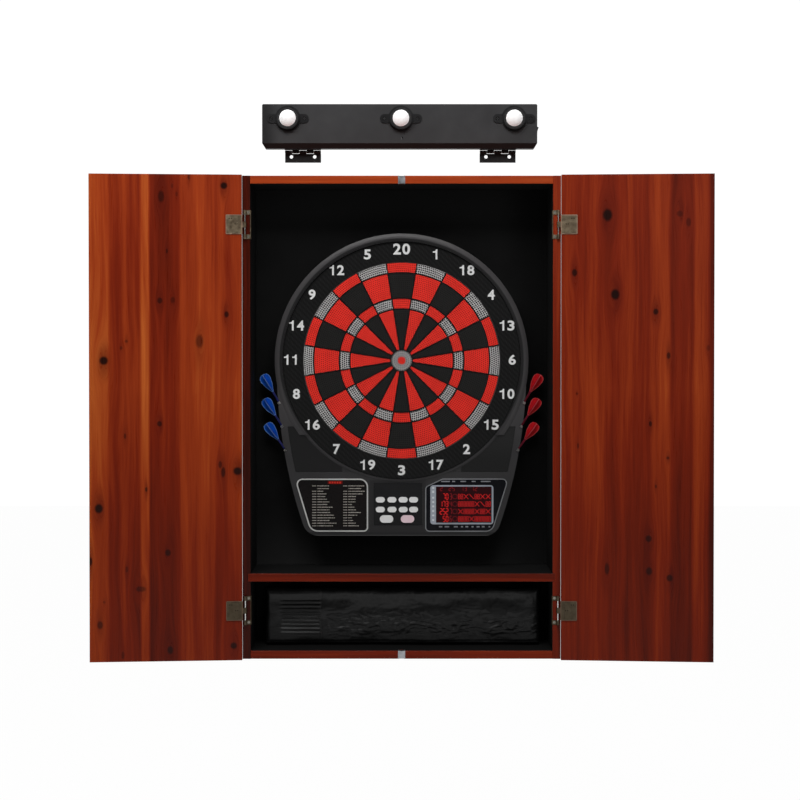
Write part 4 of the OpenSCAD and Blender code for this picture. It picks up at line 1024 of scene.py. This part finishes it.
def storage_bag():
    """A slack vinyl pouch: a crowned front with soft folds, a ribbed panel, a seam beside it and a hem."""
    low, high = (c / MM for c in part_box("storage_bag"))
    wide, tall = high.x - low.x, high.z - low.z
    back, rim = -high.y, -low.y - RIM_BACK
    across, up = BAG_CELLS
    seam, rib_from = low.x + wide * SEAM_AT, low.x + wide * RIBS_AT
    rib_low, rib_high = low.z + tall * RIBS_FOOT, low.z + tall * RIBS_TOP

    def relief(x, z, v):
        """How far the front stands out, in mm, at (x, z), the share v of the way up."""
        edge = min(swell(x - low.x, 16, 15), swell(high.x - x, 20, 15), swell(z - low.z, 12, 13),
                   swell(high.z - z, 26, 15))
        lump = wave(x / 95, 3.1, z / 42) * 4.2 + wave(x / 38, 8.3, z / 21) * 2.2
        sag = -3.5 * fade(v, 0.35, 0.8) * fade(1 - v, 0, 0.2)
        band = groove(v - 0.4 - 0.08 * wave(x / 60, 1, 0), 0.2)
        bend = z + 5 * wave(x / 30, z / 18, 5.5)
        folds = (band * 3 * crease(wave(x / 34, 2.2, bend / 8.5), 2.4, 2)
                 + (0.35 + band) * 1.3 * crease(wave(x / 17, 6.7, bend / 12), 2.4, 3)
                 + fade(v, 0.6, 0.85) * 1.1 * crease(wave(x / 9, z / 60, 9.9), 2.6, 3))
        folds *= fade(x, seam + 4, seam + 16)
        in_ribs = (fade(x, rib_from, rib_from + 4) * fade(seam - x, 1, 4) * fade(z, rib_low, rib_low + 2)
                   * fade(rib_high - z, 0, 2))
        rib = math.sin(math.tau * RIBS * (z - rib_low) / (rib_high - rib_low) + 0.5 * wave(x / 40, 0, 0))
        stitched = (2.2 * groove(x - seam, 1.5) + 1.5 * groove(high.x - 9.5 - x, 1.3)
                    + groove(high.x - 14 - x, 1.2)
                    + 1.6 * groove(z - low.z - 8.5 - 0.8 * wave(x / 50, 0, 3), 1.1))
        return edge + min(1, edge / 12) * (lump + sag + folds + in_ribs * 1.3 * rib - stitched)

    bm = bmesh.new()

    def corner(i, j, outer):
        u, v = i / across, j / up
        droop = (3.2 * wave(u * 6, 4.4, 0) + 2) * fade(u, 0, 0.06) * fade(1 - u, 0, 0.06)
        top = high.z - droop
        x, z = low.x + wide * u, low.z + (top - low.z) * v
        if outer:
            out = rim + relief(x, z, v)
        else:
            out = rim - (rim - back) * swell(min(x - low.x, high.x - x, z - low.z, top - z), 9, 1)
        return bm.verts.new((x * MM, -out * MM, z * MM))
    for outer, turn in ((True, 1), (False, -1)):
        rows = [[corner(i, j, outer) for i in range(across + 1)] for j in range(up + 1)]
        for a, b in zip(rows, rows[1:]):
            for i in range(across):
                bm.faces.new((a[i], a[i + 1], b[i + 1], b[i])[::turn])
    bmesh.ops.remove_doubles(bm, verts=bm.verts, dist=0.00002)
    for f in bm.faces:
        f.smooth = True

    def build(g):
        at = g.place()
        pebble = g.noise(at, 0.55, 3, 0.6)
        crinkle = g.noise(at, 0.11, 4, 0.6, 1.2)
        g.surface(g.mix(g.middle(crinkle), grey(15), grey(22)), g.middle(crinkle, 0.38, 0.52),
                  g.bump(pebble, 0.12, 0.5, g.bump(crinkle, 1.2, 0.35)))
    made = put_piece(
        "vinyl_bag", closed(bm, "vinyl_bag"), "cabinet",
        material("bag_vinyl", build, shine=0.3))
    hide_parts("storage_bag")


storage_bag()


# ---- light bar fittings

bar_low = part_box("light_housing")[0] / MM
SENSOR_ASIDE, SENSOR_UP, SENSOR_R = 3.1, 21, 2.4  # from the middle lamp and the bar's foot
window = disc(lens_mid.x + SENSOR_ASIDE, bar_low.z + SENSOR_UP, SENSOR_R)
drawn("sensor_window", [(window, None, -bar_low.y - 1, -bar_low.y + 0.5)], "light_bar",
      plain("sensor_black", (10, 10, 11), (14, 14, 15), 0.2))


def bar_coat(g):
    """Fine textured coat, darker towards the left end, with painted shade on the folded lip."""
    at = g.place()
    place = g.split(at)
    patch, fine = g.noise(at, PATCH, 3), g.noise(at, 1.6, 3, 0.6)
    # The lip's darker colour is painted shade
    colour = g.cover(
        g.mix(g.middle(patch), (53, 53, 54), (62, 62, 63)),
        (g.step(place[0], bar_low.x + 40, bar_low.x + 4), 1, (36, 36, 37)),
        (g.step(place[2], bar_low.z + 10.4, bar_low.z + 9.6), 1, (40, 42, 43)))
    g.surface(colour, g.middle(g.noise(at, CLOUD, 2), 0.4, 0.52), g.bump(fine, 0.05, 0.6))


paint(material("bar_coat", bar_coat), "light_housing")


# ---- stage, light and camera

FLOOR_DROP, FLOOR_REACH, FLOOR_CELLS = 0.7, 9, 6  # metres below the case and out from it


def straight(g):
    """Two outputs: 1 for rays from the camera or through glass, and 1 for mirrored rays."""
    rays = g.node("ShaderNodeLightPath").outputs
    return g.most(rays["Is Camera Ray"], rays["Is Transmission Ray"]), rays["Is Glossy Ray"]


def floor():
    """A pale floor well below the case, seen at an even white but still catching its shadow."""
    low, side = cad_bounds[0].z - FLOOR_DROP, FLOOR_CELLS + 1
    at = [-FLOOR_REACH + 2 * FLOOR_REACH * i / FLOOR_CELLS for i in range(side)]
    corners = [j * side + i for j in range(FLOOR_CELLS) for i in range(FLOOR_CELLS)]
    mesh = bpy.data.meshes.new("floor")
    mesh.from_pydata([(x, y, low) for y in at for x in at], [],
                     [(c, c + 1, c + side + 1, c + side) for c in corners])
    made = placed("floor", mesh)

    def build(g):
        g.feed(g.shader.inputs["Base Color"], g.mix(g.noise(g.place(), 0.002, 2), grey(236), grey(244)))
        glow = g.keyed("ShaderNodeEmission", Strength=1.05)
        out = next(n for n in g.tree.nodes if n.type == "OUTPUT_MATERIAL")
        g.feed(out.inputs[0], g.made("ShaderNodeMixShader", g.mul(g.most(*straight(g)), 0.93),
                                     g.shader.outputs[0], glow))
    made.data.materials.append(material("pale_stage", build, Roughness=0.9))


floor()
# Lamps as place, aim and size in metres, and power in watts
for name, place, aim, size, power in (
        ("key", (-0.3, -1.4, 1.75), (0, 0, 0.2), (2, 0.8), 36),
        ("fill", (1.2, -3.2, 0.9), (0, 0, 0), (1.6, 1.6), 5),
        ("top", (0, -0.7, 2.3), (0, 0, 0.3), (2.4, 0.6), 10)):
    data = bpy.data.lights.new(name, "AREA")
    data.shape, data.size, data.size_y, data.energy = "RECTANGLE", *size, power
    lamp = placed(name, data)
    lamp.location = place
    lamp.rotation_euler = (Vector(aim) - Vector(place)).to_track_quat("-Z", "Y").to_euler()

SKY_LIGHT, SKY_SEEN = 0.1, 0.95  # the sky's even light, and what is added where it is looked at
world = bpy.data.worlds.new("world")
bpy.context.scene.world = world
world.use_nodes = True
sky = world.node_tree.nodes["Background"].inputs
sky[0].default_value = (1, 1, 1, 1)
graph = Graph(world.node_tree)
direct, glossy = straight(graph)
ahead = graph.split(graph.node("ShaderNodeTexCoord").outputs["Generated"])[1]
# A mirror shows the white only behind the case, so that dark faces don't turn hazy
mirrored = graph.mul(glossy, graph.step(ahead, -0.2, 0.25))
graph.feed(sky[1], graph.add(graph.mul(graph.most(direct, mirrored), SKY_SEEN), SKY_LIGHT))

CAMERA_AWAY, CAMERA_UP, CAMERA_DIP = 3, 0.156, 0.75  # metres before the case and up, degrees down
camera = placed("camera", bpy.data.cameras.new("camera"))
camera.location = (0, front * MM - CAMERA_AWAY, CAMERA_UP)
camera.rotation_euler = (math.radians(90 - CAMERA_DIP), 0, 0)
camera.data.lens, camera.data.shift_x, camera.data.shift_y = 68.4, -0.002, -0.0517
bpy.context.scene.camera = camera
bpy.context.scene.view_settings.view_transform = "Standard"
